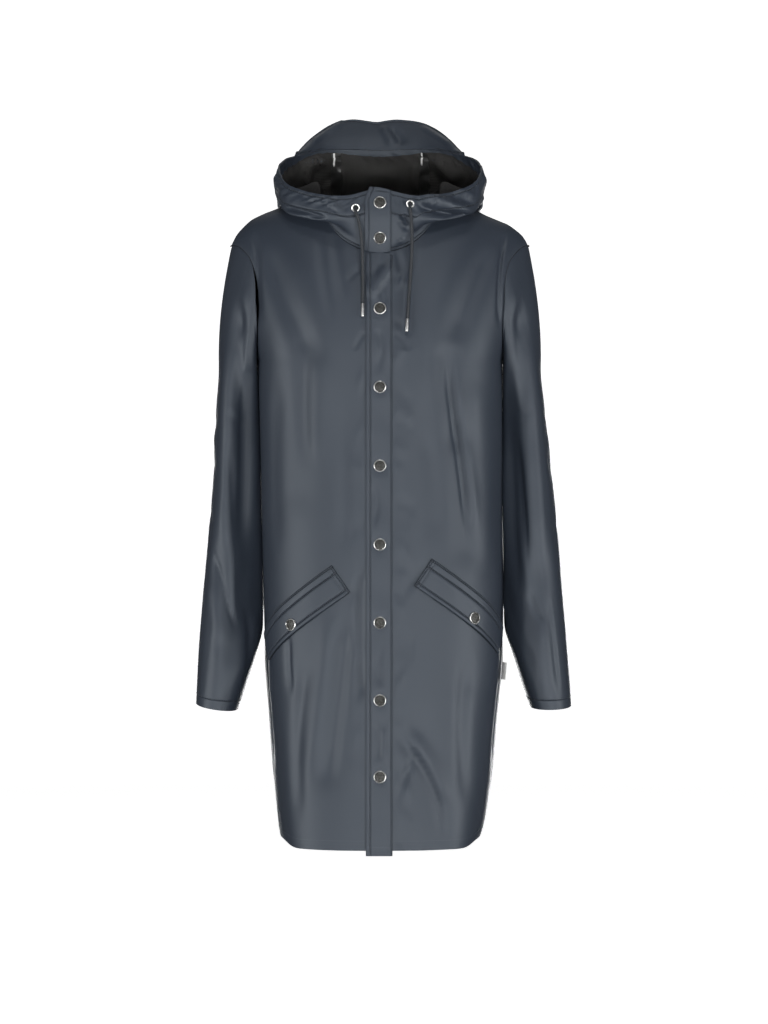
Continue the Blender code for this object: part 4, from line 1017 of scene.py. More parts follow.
class Sewing:
    """Lines of stitches, kept until they are made into one piece of thread."""

    length = 2.7
    gap = 0.8
    radius = 0.27

    def __init__(self) -> None:
        """Start with no lines."""
        self.lines: list[tuple[Array, Array]] = []

    def add(self, points: Array, normals: Array) -> None:
        """Keep a line with the cloth's direction at each point."""
        self.lines.append((points, normals))

    def make(self, name: str, material: bpy.types.Material) -> bpy.types.Object:
        """Every stitch as a short sunk spindle of thread.

        Args:
            name: Name of the piece.
            material: The thread's finish.

        Returns:
            The object with all of them.
        """
        starts, ends, ways = [], [], []
        for points, normals in self.lines:
            walked = travelled(points)
            first = np.arange(1.0, max(walked[-1] - self.length, 1.01), self.length + self.gap)
            for store, places in ((starts, first), (ends, first + self.length)):
                store.append(np.stack([np.interp(places, walked, points[:, n]) for n in range(3)], axis=-1))
            ways.append(unit(np.stack([np.interp(first, walked, normals[:, n]) for n in range(3)], axis=-1)))
        start, end, way = (np.concatenate(store) for store in (starts, ends, ways))
        beside = unit(np.cross(end - start, way))
        rings = []
        for share, size, lift in ((0.0, 0.35, -0.25), (0.25, 1.0, 0.12), (0.75, 1.0, 0.12), (1.0, 0.35, -0.25)):
            centre = start + (end - start) * share + way * lift
            for step in range(4):
                turn = math.pi * (0.25 + step / 2)
                rings.append(centre + self.radius * size * (beside * math.cos(turn) + way * math.sin(turn)))
        vertices = np.stack(rings, axis=1).reshape(-1, 3)
        one = [[low * 4 + step, low * 4 + (step + 1) % 4, (low + 1) * 4 + (step + 1) % 4, (low + 1) * 4 + step]
               for low in range(3) for step in range(4)] + [[3, 2, 1, 0], [12, 13, 14, 15]]
        faces = (np.arange(len(start))[:, None, None] * 16 + np.array(one)[None]).reshape(-1, 4).tolist()
        return add_mesh(name, vertices, faces, material, 80.0)


@dataclass
class Wardrobe:
    """The finishes and the thread that the sub-assemblies share."""

    cloth: bpy.types.Material = field(default_factory=lambda: CoatedCloth().make())
    knit: bpy.types.Material = field(default_factory=lambda: KnitBack().make())
    snap_ring: bpy.types.Material = field(default_factory=lambda: SnapMetal(
        "snap_ring_metal", (0.30, 0.30, 0.29), (0.80, 0.80, 0.79), 0.4, 0.22).make())
    snap_face: bpy.types.Material = field(default_factory=lambda: SnapMetal().make())
    tip: bpy.types.Material = field(default_factory=lambda: SnapMetal(
        "tip_metal", (0.22, 0.22, 0.22), (0.60, 0.60, 0.60), 0.6, 0.32).make())
    cord: bpy.types.Material = field(default_factory=lambda: BraidedCord().make())
    thread: bpy.types.Material = field(default_factory=lambda: PlainFinish(
        "slate_thread", (0.05, 0.062, 0.08), 0.6).make())
    tape: bpy.types.Material = field(default_factory=lambda: SeamTape().make())
    label: bpy.types.Material = field(default_factory=lambda: PlainFinish(
        "label_cloth", (0.78, 0.78, 0.77), 0.7).make())
    # Painted shadow: near-black finish for the discs that stand for the dark inside of the eyelets
    hole_shadow: bpy.types.Material = field(default_factory=lambda: PlainFinish(
        "eyelet_hole", (0.006, 0.006, 0.006), 0.9).make())
    sewing: Sewing = field(default_factory=Sewing)

    def sheet(self, grid: ClothGrid, name: str, cut: tuple[float, float],
              replaced: Sequence[str] = (), thickness: float = 0.9,
              finishes: Sequence[bpy.types.Material] | None = None
              ) -> bpy.types.Object:
        """Make a grid into a piece of cloth that stands for a solid.

        Args:
            grid: The piece's outer face.
            name: Name of the piece.
            cut: Width and length of its flat cut, in millimetres; not used.
            replaced: The solids it stands for.
            thickness: Of the cloth, in millimetres.
            finishes: Outside and inside materials, where they aren't the coat's.

        Returns:
            The object.
        """
        item = grid.shell(name, finishes or (self.cloth, self.knit), thickness)
        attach(item, BODY)
        if replaced:
            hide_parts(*replaced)
        cut[0] * MM
        cut[1] * MM
        log.info("%s: %.4f square metres, %d points", name, grid.area(), len(item.data.vertices))
        return item

    def rigid(self, item: bpy.types.Object, slot: str, *replaced: str) -> bpy.types.Object:
        """Let a hard piece ride on the coat."""
        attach(item, BODY)
        if replaced:
            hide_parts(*replaced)
        return item


# ------------------------------------------------------------------------------------------------
# sub-assemblies
# ------------------------------------------------------------------------------------------------
FRONT_CREASES = (
    # wearer's right, from the shoulder down
    crease(4.0, -3.8, (-178.5, -52.0), (-172.0, -90.0), (-171.0, -127.0), (-169.5, -200.0), steep=1.8),
    crease(14.0, -3.8, (-158.5, -76.0), (-131.0, -158.0), (-103.0, -220.0), (-92.0, -262.0)),
    crease(20.0, 1.8, (-120.0, -70.0), (-84.0, -150.0), (-66.0, -260.0), (-70.0, -330.0)),
    crease(8.0, -1.4, (-66.0, -52.0), (-58.0, -110.0), (-46.0, -170.0)),
    crease(7.0, -1.2, (-84.0, -60.0), (-78.0, -120.0), (-64.0, -200.0)),
    crease(10.0, -2.5, (-103.0, -228.0), (-104.0, -310.0), (-98.0, -393.0)),
    crease(16.0, 2.4, (-84.0, -222.0), (-86.0, -300.0), (-90.0, -390.0)),
    crease(12.0, -2.1, (-140.0, -250.0), (-146.0, -380.0), (-144.0, -520.0)),
    crease(10.0, -1.5, (-54.0, -300.0), (-48.0, -420.0), (-50.0, -520.0)),
    crease(7.0, -4.3, (-24.5, -517.0), (-27.0, -610.0), (-25.0, -710.0)),
    crease(10.0, -4.5, (-44.0, -580.0), (-56.0, -690.0), (-72.0, -834.0)),
    crease(13.0, 3.9, (-66.0, -580.0), (-80.0, -700.0), (-98.0, -830.0)),
    crease(5.0, -3.1, (-124.0, -617.0), (-124.0, -655.0), (-120.0, -700.0), steep=0.5),
    crease(9.0, -3.3, (-100.0, -640.0), (-112.0, -760.0), (-110.0, -880.0)),
    # wearer's left
    crease(4.0, -3.8, (176.0, -59.0), (169.7, -90.0), (165.6, -128.0), (164.2, -200.0), steep=0.55),
    crease(14.0, -3.8, (156.0, -78.0), (124.0, -150.0), (100.0, -225.0)),
    crease(18.0, 1.8, (118.0, -80.0), (80.0, -160.0), (62.0, -250.0), (60.0, -330.0)),
    crease(4.0, -5.5, (91.0, -226.0), (96.6, -296.0), (110.4, -393.0), (121.4, -489.0), steep=1.6),
    crease(8.0, 3.8, (99.0, -228.0), (107.6, -296.0), (121.4, -393.0), (132.5, -489.0)),
    crease(11.0, -2.1, (46.0, -64.0), (40.0, -110.0), (34.0, -170.0), (40.0, -230.0)),
    crease(12.0, -1.7, (60.0, -330.0), (74.0, -430.0), (70.0, -500.0)),
    crease(6.0, -4.2, (16.6, -747.0), (55.0, -793.0), (80.0, -850.0), (89.7, -900.0), steep=0.6),
    crease(9.0, 4.3, (36.0, -744.0), (68.0, -790.0), (94.0, -850.0)),
    crease(5.0, -2.6, (22.0, -842.0), (34.0, -810.0), (46.0, -780.0)),
    crease(10.0, -3.3, (120.0, -640.0), (112.0, -740.0), (118.0, -860.0)),
    crease(5.0, -1.4, (17.0, -88.0), (26.0, -104.0), (20.0, -150.0)),
    crease(5.0, -2.2, (30.0, -560.0), (48.0, -540.0), (62.0, -520.0)),
)
BACK_CREASES = (
    crease(16.0, -2.8, (-150.0, -110.0), (-112.0, -180.0), (-92.0, -280.0)),
    crease(15.0, -2.8, (152.0, -112.0), (118.0, -190.0), (96.0, -270.0)),
    crease(12.0, 2.1, (-128.0, -250.0), (-120.0, -380.0), (-132.0, -520.0)),
    crease(11.0, -2.38, (-104.0, -300.0), (-96.0, -430.0), (-108.0, -560.0), (-100.0, -680.0), steep=0.6),
    crease(12.0, -2.24, (112.0, -290.0), (104.0, -420.0), (118.0, -540.0)),
    crease(14.0, 2.1, (86.0, -330.0), (76.0, -460.0), (84.0, -600.0)),
    crease(11.0, -1.82, (-30.0, -180.0), (-22.0, -280.0), (-34.0, -400.0)),
    crease(12.0, -1.96, (34.0, -240.0), (26.0, -360.0), (40.0, -470.0)),
    crease(13.0, -2.24, (-24.0, -640.0), (-34.0, -760.0), (-28.0, -900.0)),
    crease(12.0, 2.1, (10.0, -620.0), (18.0, -760.0), (8.0, -905.0)),
    crease(11.0, -2.1, (120.0, -650.0), (112.0, -770.0), (120.0, -900.0)),
    crease(11.0, 1.82, (-118.0, -650.0), (-124.0, -780.0), (-112.0, -900.0)),
)
SIDE_CREASES = (    # y, z, the same on both sides of the body below the sleeve
    crease(11.0, -3.2, (-40.0, -560.0), (-30.0, -680.0), (-44.0, -820.0)),
    crease(12.0, 2.8, (10.0, -600.0), (22.0, -720.0), (12.0, -880.0)),
    crease(10.0, -2.6, (52.0, -580.0), (44.0, -700.0), (58.0, -850.0)),
)


@dataclass
class Body:
    """The two fronts and the back."""

    plan: PanelPlan
    parts: tuple[int, int] = (6, 8)     # of each coarse cell, along and across
    hem_stitch: float = 13.0
    corner: tuple[float, float, float] = (104.0, 34.0, 9.0)     # where the hem rises at the sides, and by how much
    drape: Drape = field(default_factory=lambda: Drape({
        Side.FRONT: FRONT_CREASES, Side.BACK: BACK_CREASES, Side.LEFT: SIDE_CREASES, Side.RIGHT: SIDE_CREASES,
    }, 0.45, 110.0, 3))

    def grid(self, places: tuple[Array, Array, Array]) -> ClothGrid:
        """One panel's fine grid, creased."""
        angles, levels, cells = places
        rows, columns = (marks(angles.shape[axis] - 1, self.parts[axis]) for axis in (0, 1))
        fine_angles, fine_levels = refine(angles, rows, columns), refine(levels, rows, columns)
        points, normals = self.plan.form.frame(fine_angles, fine_levels)
        start, reach, rise = self.corner
        points[..., 2] += rise * ease((np.abs(points[..., 0]) - start) / reach) ** 2 * np.exp(
            -(points[..., 2] - self.plan.form.hem_z) / 16.0)
        middle_rows = np.floor((rows[1:] + rows[:-1]) / 2).astype(int)
        middle_columns = np.floor((columns[1:] + columns[:-1]) / 2).astype(int)
        kept = cells[np.ix_(middle_rows, middle_columns)]
        grid = ClothGrid(points, normals, kept)
        grid.flip = float((grid.directions() * normals).sum()) < 0.0
        calm = self.calm_near_placket(points)
        return grid.drape(self.drape, calm).drape(Drape({Side.FRONT: self.pulls()}, 0.0), calm)

    def pulls(self) -> tuple[Crease, ...]:
        """Short slanting creases that the snaps and the placket's seams draw into the fronts."""
        draw = np.random.default_rng(14)
        found = []
        for side in (1.0, -1.0):
            for z in np.arange(-125.0, -890.0, -30.0 if side > 0 else -70.0):
                start, reach = z + draw.uniform(-12.0, 12.0), draw.uniform(14.0, 36.0)
                fall = draw.choice((-1.0, -1.0, 1.0)) * draw.uniform(12.0, 34.0)
                path = ((side * 17.0, start), (side * (17.0 + reach / 2), start + fall * 0.4),
                        (side * (17.0 + reach), start + fall))
                found.append(Crease(path, draw.uniform(4.0, 6.5), draw.uniform(1.0, 1.8) * draw.choice((-1.0, 1.0)),
                                    draw.uniform(0.5, 1.6)))
        return tuple(found)

    def calm_near_placket(self, points: Array) -> Array:
        """Share of the creases that stays, less under the placket and the hood."""
        off = ease((np.abs(points[..., 0]) - 14.0) / 10.0)
        front = points[..., 1] < 0.0
        return np.where(front, 0.25 + 0.75 * off, 1.0)

    def build(self, wardrobe: Wardrobe) -> dict[str, ClothGrid]:
        """Make the three panels and sew their hems and side seams."""
        grids = {"front_left": self.grid(self.plan.front(1)), "front_right": self.grid(self.plan.front(-1)),
                 "back": self.grid(self.plan.back())}
        cuts = {"front_left": ((262.0, 1030.0), 0.200), "front_right": ((284.0, 1030.0), 0.215),
                "back": ((520.0, 1010.0), 0.43)}
        for name, grid in grids.items():
            grid.sink_edges((Edge.LAST,) if name != "back" else (Edge.FIRST, Edge.LAST))
            grid.topstitch(wardrobe.sewing, Edge.START, self.hem_stitch)
            cut, area = cuts[name]
            wardrobe.sheet(grid, "cloth_" + name, cut, replaced=(name,))
        return grids


@dataclass
class Placket:
    """The snap placket down the front, on both fronts."""

    form: BodyForm
    plan: PanelPlan
    right_x: float = -19.0
    left_x: float = 17.0
    hem_z: float = -915.0
    lift: float = 0.35
    thickness: float = 2.0
    snaps: tuple[float, ...] = (-174.0, -281.0, -388.0, -495.0, -601.0, -706.0, -809.0)
    drape: Drape = field(default_factory=lambda: Drape({Side.FRONT: (
        crease(6.3, -1.6, (22.0, -92.0), (2.0, -112.0), (-14.0, -134.0)),
        crease(13.0, 4.6, (20.0, -110.0), (2.0, -136.0), (-15.0, -162.0), steep=0.45),
        crease(4.5, -1.6, (6.0, -136.0), (2.0, -152.0), (10.0, -168.0)),
        crease(4.5, -1.7, (-4.0, -198.0), (2.0, -230.0), (-4.0, -262.0)),
        crease(4.5, -1.9, (-10.0, -410.0), (-4.0, -440.0), (-9.0, -472.0)),
        crease(4.5, -2.0, (4.0, -632.0), (-3.0, -660.0), (2.0, -690.0)),
        crease(4.5, -2.2, (-8.0, -730.0), (0.0, -760.0), (-6.0, -790.0)),
        crease(4.5, 1.9, (8.0, -740.0), (5.0, -770.0), (10.0, -795.0)),
    )}, 0.6, 42.0, 11))

    def build(self, wardrobe: Wardrobe) -> ClothGrid:
        """Make the strip with its puckers round the snaps, and its edge stitching."""
        split = self.plan.splits[0]
        top = self.plan.neck_level(0.0, self.plan.drops[0])
        below = -1.0 + (self.hem_z - self.form.hem_z) / (self.form.underarm_z - self.form.hem_z)
        levels = [below] + [self.plan.below_neck(level, split, top)
                            for level in self.plan.levels(split)[:self.plan.split_row + 1]]
        rows = marks(len(levels) - 1, 8)
        fine = np.interp(rows, np.arange(len(levels)), levels)
        across = np.linspace(self.right_x, self.left_x, 27)
        angles = np.array([[self.form.front_angle(x, level) for x in across] for level in fine])
        points, normals = self.form.frame(angles, fine[:, None] * np.ones(len(across)))
        grid = ClothGrid(points + normals * (self.lift + self.thickness), normals)
        grid.drape(self.drape)
        for z in self.snaps:
            far = np.hypot(grid.points[..., 0], grid.points[..., 2] - z)
            grid.push(-1.1 * np.exp(-(far / 10.0) ** 2) + 0.5 * np.exp(-((far - 15.0) / 6.0) ** 2))
        grid.sink_edges((Edge.LAST,), 1.9, 1.6)
        grid.sink_edges((Edge.FIRST,), 0.5, 1.2)
        grid.topstitch(wardrobe.sewing, Edge.FIRST, 6.2)
        grid.topstitch(wardrobe.sewing, Edge.LAST, 2.4)
        grid.topstitch(wardrobe.sewing, Edge.START, 12.0)
        wardrobe.sheet(grid, "cloth_placket", (37.0, 860.0), ("placket",), 1.6,
                       finishes=(wardrobe.cloth, wardrobe.cloth))
        return grid


@dataclass
class Hood:
    """The hood, folded down: its sides and middle, its facing, its brim and the placket's top."""

    form: BodyForm
    plan: PanelPlan
    stand: Table = (
        (0.0, 0.0, -99.0, -82.0), (25.0, 38.0, -95.0, -75.0), (50.0, 74.0, -67.0, -37.0),
        (70.0, 86.0, -31.0, -3.0), (90.0, 88.0, 4.0, 12.0), (110.0, 84.0, 32.0, 7.0),
        (130.0, 70.0, 56.0, 3.0), (150.0, 44.0, 72.0, -4.0), (180.0, 0.0, 81.0, -5.0),
    )
    lap: Table = (
        (0.0, 0.0, -101.0, -66.0), (25.0, 43.0, -100.0, -62.0), (50.0, 78.0, -82.0, -50.0),
        (70.0, 103.0, -46.0, -24.0), (90.0, 115.0, 2.0, 1.0), (110.0, 111.0, 40.0, -10.0),
        (130.0, 94.0, 80.0, -34.0), (150.0, 59.0, 99.0, -52.0), (180.0, 0.0, 106.0, -60.0),
    )
    roll: Table = (
        (0.0, 0.0, -103.0, -48.0), (25.0, 46.0, -104.0, -49.0), (50.0, 88.0, -90.0, -50.0),
        (70.0, 124.0, -56.0, -41.0), (90.0, 143.0, -2.0, -17.0), (110.0, 138.0, 50.0, -32.0),
        (130.0, 114.0, 104.0, -82.0), (150.0, 66.0, 132.0, -112.0), (180.0, 0.0, 142.0, -122.0),
    )
    outer: Table = (
        (0.0, 0.0, -103.0, -30.0), (25.0, 49.0, -103.0, -34.0), (50.0, 97.0, -86.0, -31.0),
        (70.0, 134.0, -52.0, -17.0), (90.0, 146.8, -2.0, 6.0), (110.0, 144.5, 56.0, 0.0),
        (130.0, 128.0, 106.0, -22.0), (150.0, 76.0, 146.0, -40.0), (180.0, 0.0, 158.0, -44.0),
    )
    rim: Table = (
        (0.0, 0.0, -101.0, -10.0), (25.0, 51.0, -98.0, -19.0), (50.0, 100.0, -78.0, -11.0),
        (70.0, 130.5, -47.0, 5.0), (90.0, 142.5, 0.0, 31.0), (110.0, 133.5, 50.0, 50.0),
        (130.0, 112.0, 88.0, 61.0), (150.0, 76.0, 117.0, 71.0), (180.0, 0.0, 131.0, 72.0),
    )
    foot_rows: tuple[float, ...] = (0.0, 6.0, 13.0)
    middle_rows: int = 8
    facing_depth: float = 24.0
    facing_gap: float = 14.0
    facing_depths: Table = ((0.0, 9.0), (14.0, 7.5), (28.0, 4.0), (44.0, 4.5), (58.0, 13.0), (75.0, 21.0), (166.0, 24.0))
    seam_step: int = 2
    parts: int = 7
    middle_parts: int = 14
    brim_edge: Table = (
        (0.0, 117.0, 166.0), (50.0, 118.5, 164.0), (68.0, 112.5, 157.0), (86.0, 100.5, 144.0),
        (101.0, 85.5, 124.0), (112.0, 70.5, 104.0), (118.0, 62.0, 88.0), (123.0, 58.0, 76.0),
    )
    brim_half_angle: float = 59.0
    placket_edges: tuple[float, float] = (-21.0, 15.5)
    snaps: tuple[float, ...] = (-29.0, -77.0)
    inside: tuple[Crease, ...] = (
        crease(6.5, -7.5, (-70.0, 46.0), (-88.0, 55.0), (-101.0, 50.0), (-107.0, 30.0), (-102.0, 6.0)),
        crease(11.0, 5.5, (-95.0, 42.0), (-83.0, 35.0), (-72.0, 22.0)),
        crease(5.0, -4.0, (-58.0, 50.0), (-54.0, 28.0), (-60.0, 4.0)),
        crease(8.5, -8.5, (72.0, 68.0), (84.0, 54.0), (98.0, 40.0), (118.0, 18.0), steep=1.8),
        crease(11.0, 4.5, (66.0, 48.0), (78.0, 34.0), (88.0, 14.0)),
        crease(6.0, -4.0, (52.0, 60.0), (50.0, 34.0), (56.0, 8.0)),
        crease(9.0, -3.0, (-30.0, 34.0), (0.0, 40.0), (28.0, 30.0)),
    )
    drape: Drape = field(default_factory=lambda: Drape({
        Side.FRONT: (
            crease(8.0, -5.0, (-139.0, -26.0), (-119.0, -33.5), (-96.5, -41.0), (-71.0, -50.0), steep=0.35),
            crease(6.0, 3.4, (-138.0, -36.0), (-118.0, -44.0), (-96.0, -50.0)),
            crease(3.5, -2.0, (-84.0, -24.0), (-70.0, -34.0), (-58.0, -44.0)),
            crease(3.5, 1.8, (-78.0, -22.0), (-64.0, -32.0), (-52.0, -42.0)),
            crease(3.0, -1.8, (-66.0, -20.0), (-52.0, -32.0), (-44.0, -42.0)),
            crease(3.0, -1.2, (-112.0, -12.0), (-100.0, -22.0), (-92.0, -26.0)),
            crease(7.0, 5.5, (48.0, -16.0), (64.0, -20.0), (87.0, -26.0), (110.0, -33.0), (138.0, -37.0)),
            crease(9.0, -8.0, (46.0, -28.0), (64.0, -34.0), (82.0, -38.5), (98.0, -41.0), (133.0, -46.0),
                   steep=0.33),
            crease(3.0, -1.4, (26.0, -22.0), (40.0, -32.0), (56.0, -46.0)),
            crease(3.0, 1.6, (100.0, -2.0), (118.0, -10.0), (134.0, -16.0)),
            crease(3.6, -1.8, (96.0, -14.0), (112.0, -20.0), (132.0, -26.0)),
            crease(4.0, 3.4, (17.0, -34.0), (22.0, -46.0), (32.0, -58.0), (37.0, -70.0)),
            crease(3.4, -4.6, (31.0, -44.0), (35.0, -52.0), (37.0, -60.0)),
            crease(4.0, 2.4, (16.0, -92.0), (24.0, -84.0), (34.0, -78.0)),
        ),
        Side.BACK: (
            crease(7.0, 3.0, (-36.0, 60.0), (0.0, 52.0), (36.0, 60.0)),
            crease(10.0, -3.0, (-30.0, -40.0), (-20.0, -70.0), (-30.0, -110.0)),
            crease(10.0, 3.0, (24.0, -36.0), (34.0, -70.0), (22.0, -112.0)),
            crease(9.0, -3.0, (70.0, -30.0), (80.0, -60.0), (72.0, -92.0)),
            crease(9.0, -3.4, (-84.0, -20.0), (-78.0, -56.0), (-90.0, -86.0)),
            crease(10.0, 2.6, (-110.0, 20.0), (-60.0, 10.0), (0.0, 14.0), (60.0, 10.0), (104.0, 16.0)),
        ),
        Side.LEFT: (
            crease(8.0, -3.0, (-40.0, -12.0), (10.0, -4.0), (60.0, -20.0)),
            crease(8.0, 2.6, (-30.0, 12.0), (20.0, 14.0), (70.0, 4.0)),
            crease(8.0, -2.6, (30.0, 34.0), (70.0, 10.0), (110.0, -24.0)),
        ),
        Side.RIGHT: (
            crease(8.0, -3.0, (-44.0, -4.0), (0.0, -10.0), (50.0, -14.0)),
            crease(9.0, 2.6, (-20.0, 8.0), (30.0, 18.0), (80.0, 2.0)),
            crease(8.0, -2.8, (20.0, 30.0), (64.0, 14.0), (100.0, -30.0)),
        ),
    }, 0.5, 60.0, 5))

    def loop(self, table: Table, angles: Array) -> Array:
        """Points of one named loop at any angles, the same on both sides."""
        rows = [(-row[0], -row[1], row[2], row[3]) for row in reversed(table[1:4])]
        rows += [tuple(row) for row in table]
        rows += [(360.0 - row[0], -row[1], row[2], row[3]) for row in reversed(table[-4:-1])]
        side = np.where(angles < 0.0, -1.0, 1.0)
        values = [smooth(np.abs(angles), column(rows, 0), column(rows, number)) for number in (1, 2, 3)]
        return np.stack([values[0] * side, values[1], values[2]], axis=-1)

    def seam(self) -> tuple[Array, Array]:
        """Neck seam points and the angle of each round the neck."""
        points, angles = [], []
        behind = self.plan.neck_seam(*self.plan.quarter(True, lambda level: 0.0))
        for side in (1, -1):
            before = self.plan.neck_seam(*self.plan.front(side)[:2])
            half = self.on_seam(before[:, 0], before[:, 1])
            half += self.on_seam(side * (180.0 - behind[-2::-1, 0]), behind[-2::-1, 1])
            if side < 0:
                half = half[-2::-1]
            points += [point for point, _ in half]
            angles += [angle for _, angle in half]
        return np.array(points), np.array(angles)

    def on_seam(self, angles: Array, levels: Array) -> list[tuple[Array, float]]:
        """Points of one quarter's neck seam, each with its angle round the neck."""
        points = self.form.cloth(angles, levels)
        middle = points[np.argmin(np.abs(points[:, 0]))]
        found = []
        for point in points:
            reach = abs(point[1] - self.form.ridge_y) / abs(middle[1] - self.form.ridge_y)
            turn = math.degrees(math.atan2(abs(point[0]) / self.form.neck_half_width, reach))
            found.append((point, math.copysign(turn if middle[1] < self.form.ridge_y else 180.0 - turn, point[0])))
        return found

    def coarse(self, seam: Array, angles: Array) -> Array:
        """The solids' own grid of the hood, rows from the neck seam to the rim."""
        loops = [seam + np.array([0.0, 0.0, 0.3])]
        loops += [self.loop(table, angles) for table in (self.stand, self.lap, self.roll, self.outer, self.rim)]
        stacked, fine = np.stack(loops), np.linspace(0.0, 5.0, 121)
        columns = []
        for number in range(len(angles)):
            profile = np.stack([smooth(fine, np.arange(6.0), stacked[:, number, axis]) for axis in range(3)], -1)
            walked = travelled(profile)
            middle = np.linspace(self.foot_rows[-1], walked[-1] - self.facing_depth, self.middle_rows + 1)
            rows = np.concatenate([self.foot_rows, middle[1:], [walked[-1] - self.facing_depth / 2, walked[-1]]])
            columns.append(np.stack([np.interp(rows, walked, profile[:, axis]) for axis in range(3)], axis=-1))
        return np.stack(columns, axis=1)

    def build(self, wardrobe: Wardrobe) -> ClothGrid:
        """Make every piece of the hood and return the grid of its outside."""
        seam, angles = self.seam()
        coarse = self.coarse(seam, angles)
        first = len(self.foot_rows) - 1
        middle = np.linspace(first, first + self.middle_rows, self.middle_rows * self.middle_parts + 1)
        rows = np.unique(np.concatenate([marks(coarse.shape[0] - 1, self.parts), middle]).round(4))
        columns = np.round(np.linspace(0.0, len(angles) - 1, (len(angles) - 1) * self.parts + 1), 4)
        whole = ClothGrid(refine(coarse, rows, columns))
        whole.normals[:, [0, -1], 0] = 0.0
        whole.normals = unit(whole.normals)
        turns = np.interp(columns, np.arange(len(angles)), np.where(
            (np.arange(len(angles)) > len(angles) // 2) & (angles < 60.0), angles + 360.0, angles))
        calm = ease(whole.away(Edge.START) / 14.0)
        in_front = (np.abs(whole.points[..., 0]) < 24.0) & (whole.points[..., 1] < -60.0)
        whole.drape(self.drape, calm * np.where(in_front, 0.25, 1.0))
        self.gather(whole)
        self.fold_inside(whole)
        middle = len(angles) // 2
        seams = [(middle - self.seam_step) * self.parts, (middle + self.seam_step) * self.parts]
        pieces = (("hood_side_left", 0, seams[0], (295.0, 330.0), 0.058),
                  ("hood_center", seams[0], seams[1], (150.0, 300.0), 0.034),
                  ("hood_side_right", seams[1], len(columns) - 1, (295.0, 330.0), 0.062))
        for name, first, last, cut, area in pieces:
            self.piece(wardrobe, whole, name, slice(first, last + 1), cut)
        self.tapes(wardrobe, whole, seams)
        self.facing(wardrobe, whole, turns)
        self.brim(wardrobe, coarse, angles)
        self.placket_top(wardrobe, coarse)
        return whole

    def gather(self, whole: ClothGrid) -> None:
        """Small gathers that the tunnel's stitching draws into the cloth below the rim."""
        far = whole.away(Edge.END)
        along = travelled(whole.points, 1)
        draw = np.random.default_rng(8)
        ripple = np.zeros(far.shape)
        for _ in range(7):
            length, phase = draw.uniform(8.0, 30.0), draw.uniform(0.0, 2 * math.pi)
            lean = draw.uniform(-0.5, 0.5)
            ripple += np.sin((along + far * lean) * (2 * math.pi / length) + phase)
        near = np.exp(-((far - 12.0) / 9.0) ** 2)
        whole.push(ripple * near * 0.42)

    def fold_inside(self, whole: ClothGrid) -> None:
        """Lumps of the wall behind, which show in the hood's mouth; below 0 they come forward."""
        behind = ease((whole.points[..., 1] + 6.0) / 24.0) * ease((104.0 - whole.away(Edge.END)) / 24.0)
        behind *= ease((whole.away(Edge.END) - 3.0) / 12.0)
        x, z = whole.points[..., 0], whole.points[..., 2]
        whole.push(behind * sum(fold.height(x, z) for fold in self.inside))

    def piece(self, wardrobe: Wardrobe, whole: ClothGrid, name: str, part: slice, cut: tuple[float, float]) -> None:
        """One panel of the hood, with its tunnel's stitching and its neck seam."""
        grid = ClothGrid(whole.points[:, part], whole.normals[:, part])
        grid.sink_edges((Edge.START,), 0.6, 1.8)
        if name == "hood_center":
            grid.sink_edges((Edge.FIRST, Edge.LAST), 1.0, 2.2)
        else:
            grid.sink_edges((Edge.LAST if name.endswith("left") else Edge.FIRST,), 1.0, 2.2)
        grid.topstitch(wardrobe.sewing, Edge.END, 5.5)
        grid.topstitch(wardrobe.sewing, Edge.END, 31.0)
        grid.topstitch(wardrobe.sewing, Edge.START, 4.0)
        wardrobe.sheet(grid, "cloth_" + name, cut, (name,))

    def tapes(self, wardrobe: Wardrobe, whole: ClothGrid, seams: Sequence[int]) -> None:
        """The tape over each of the hood's long seams, inside."""
        for name, number in zip(("left", "right"), seams):
            kept = whole.away(Edge.START)[:, number] > 30.0
            kept &= whole.away(Edge.END)[:, number] > 5.0
            ways = whole.normals[kept, number][::-1]
            inside = whole.points[kept, number][::-1] - ways * 2.7
            along = unit(np.gradient(inside, axis=0))
            beside = np.cross(ways, along)
            strip = np.stack([inside + beside * (share * 7.0) + ways * (abs(share) * 0.4) for share in
                              (1.0, 0.5, 0.0, -0.5, -1.0)], axis=1)
            grid = ClothGrid(strip, -np.repeat(ways[:, None], 5, axis=1))
            grid.flip = float((grid.directions() * grid.normals).sum()) < 0.0
            wardrobe.sheet(grid, "hood_seam_tape_" + name, (14.0, 300.0), (), 0.25,
                           finishes=(wardrobe.tape, wardrobe.tape))

    def facing(self, wardrobe: Wardrobe, whole: ClothGrid, turns: Array) -> None:
        """The strip of coated cloth inside the rim."""
        keep = (turns > self.facing_gap) & (turns < 360.0 - self.facing_gap)
        depths = smooth(np.abs(turns[keep] - 180.0), column(self.facing_depths, 0), column(self.facing_depths, 1))
        away, points, normals = whole.away(Edge.END)[:, keep], whole.points[:, keep], whole.normals[:, keep]
        places = np.linspace(1.0, 0.02, 22)[:, None] * depths[None, :]
        lines = [[[np.interp(places[:, n], away[::-1, n], values[::-1, n, axis]) for axis in range(3)]
                  for n in range(len(depths))] for values in (points, normals)]
        points, normals = (np.array(values).transpose(2, 0, 1) for values in lines)
        normals = unit(normals)
        grid = ClothGrid(points - normals * 1.35, -normals)
        grid.flip = True
        grid.push(np.full(points.shape[:2], 0.9))
        wardrobe.sheet(grid, "cloth_hood_facing", (26.0, 800.0), ("hood_facing",), 0.8,
                       finishes=(wardrobe.cloth, wardrobe.cloth))

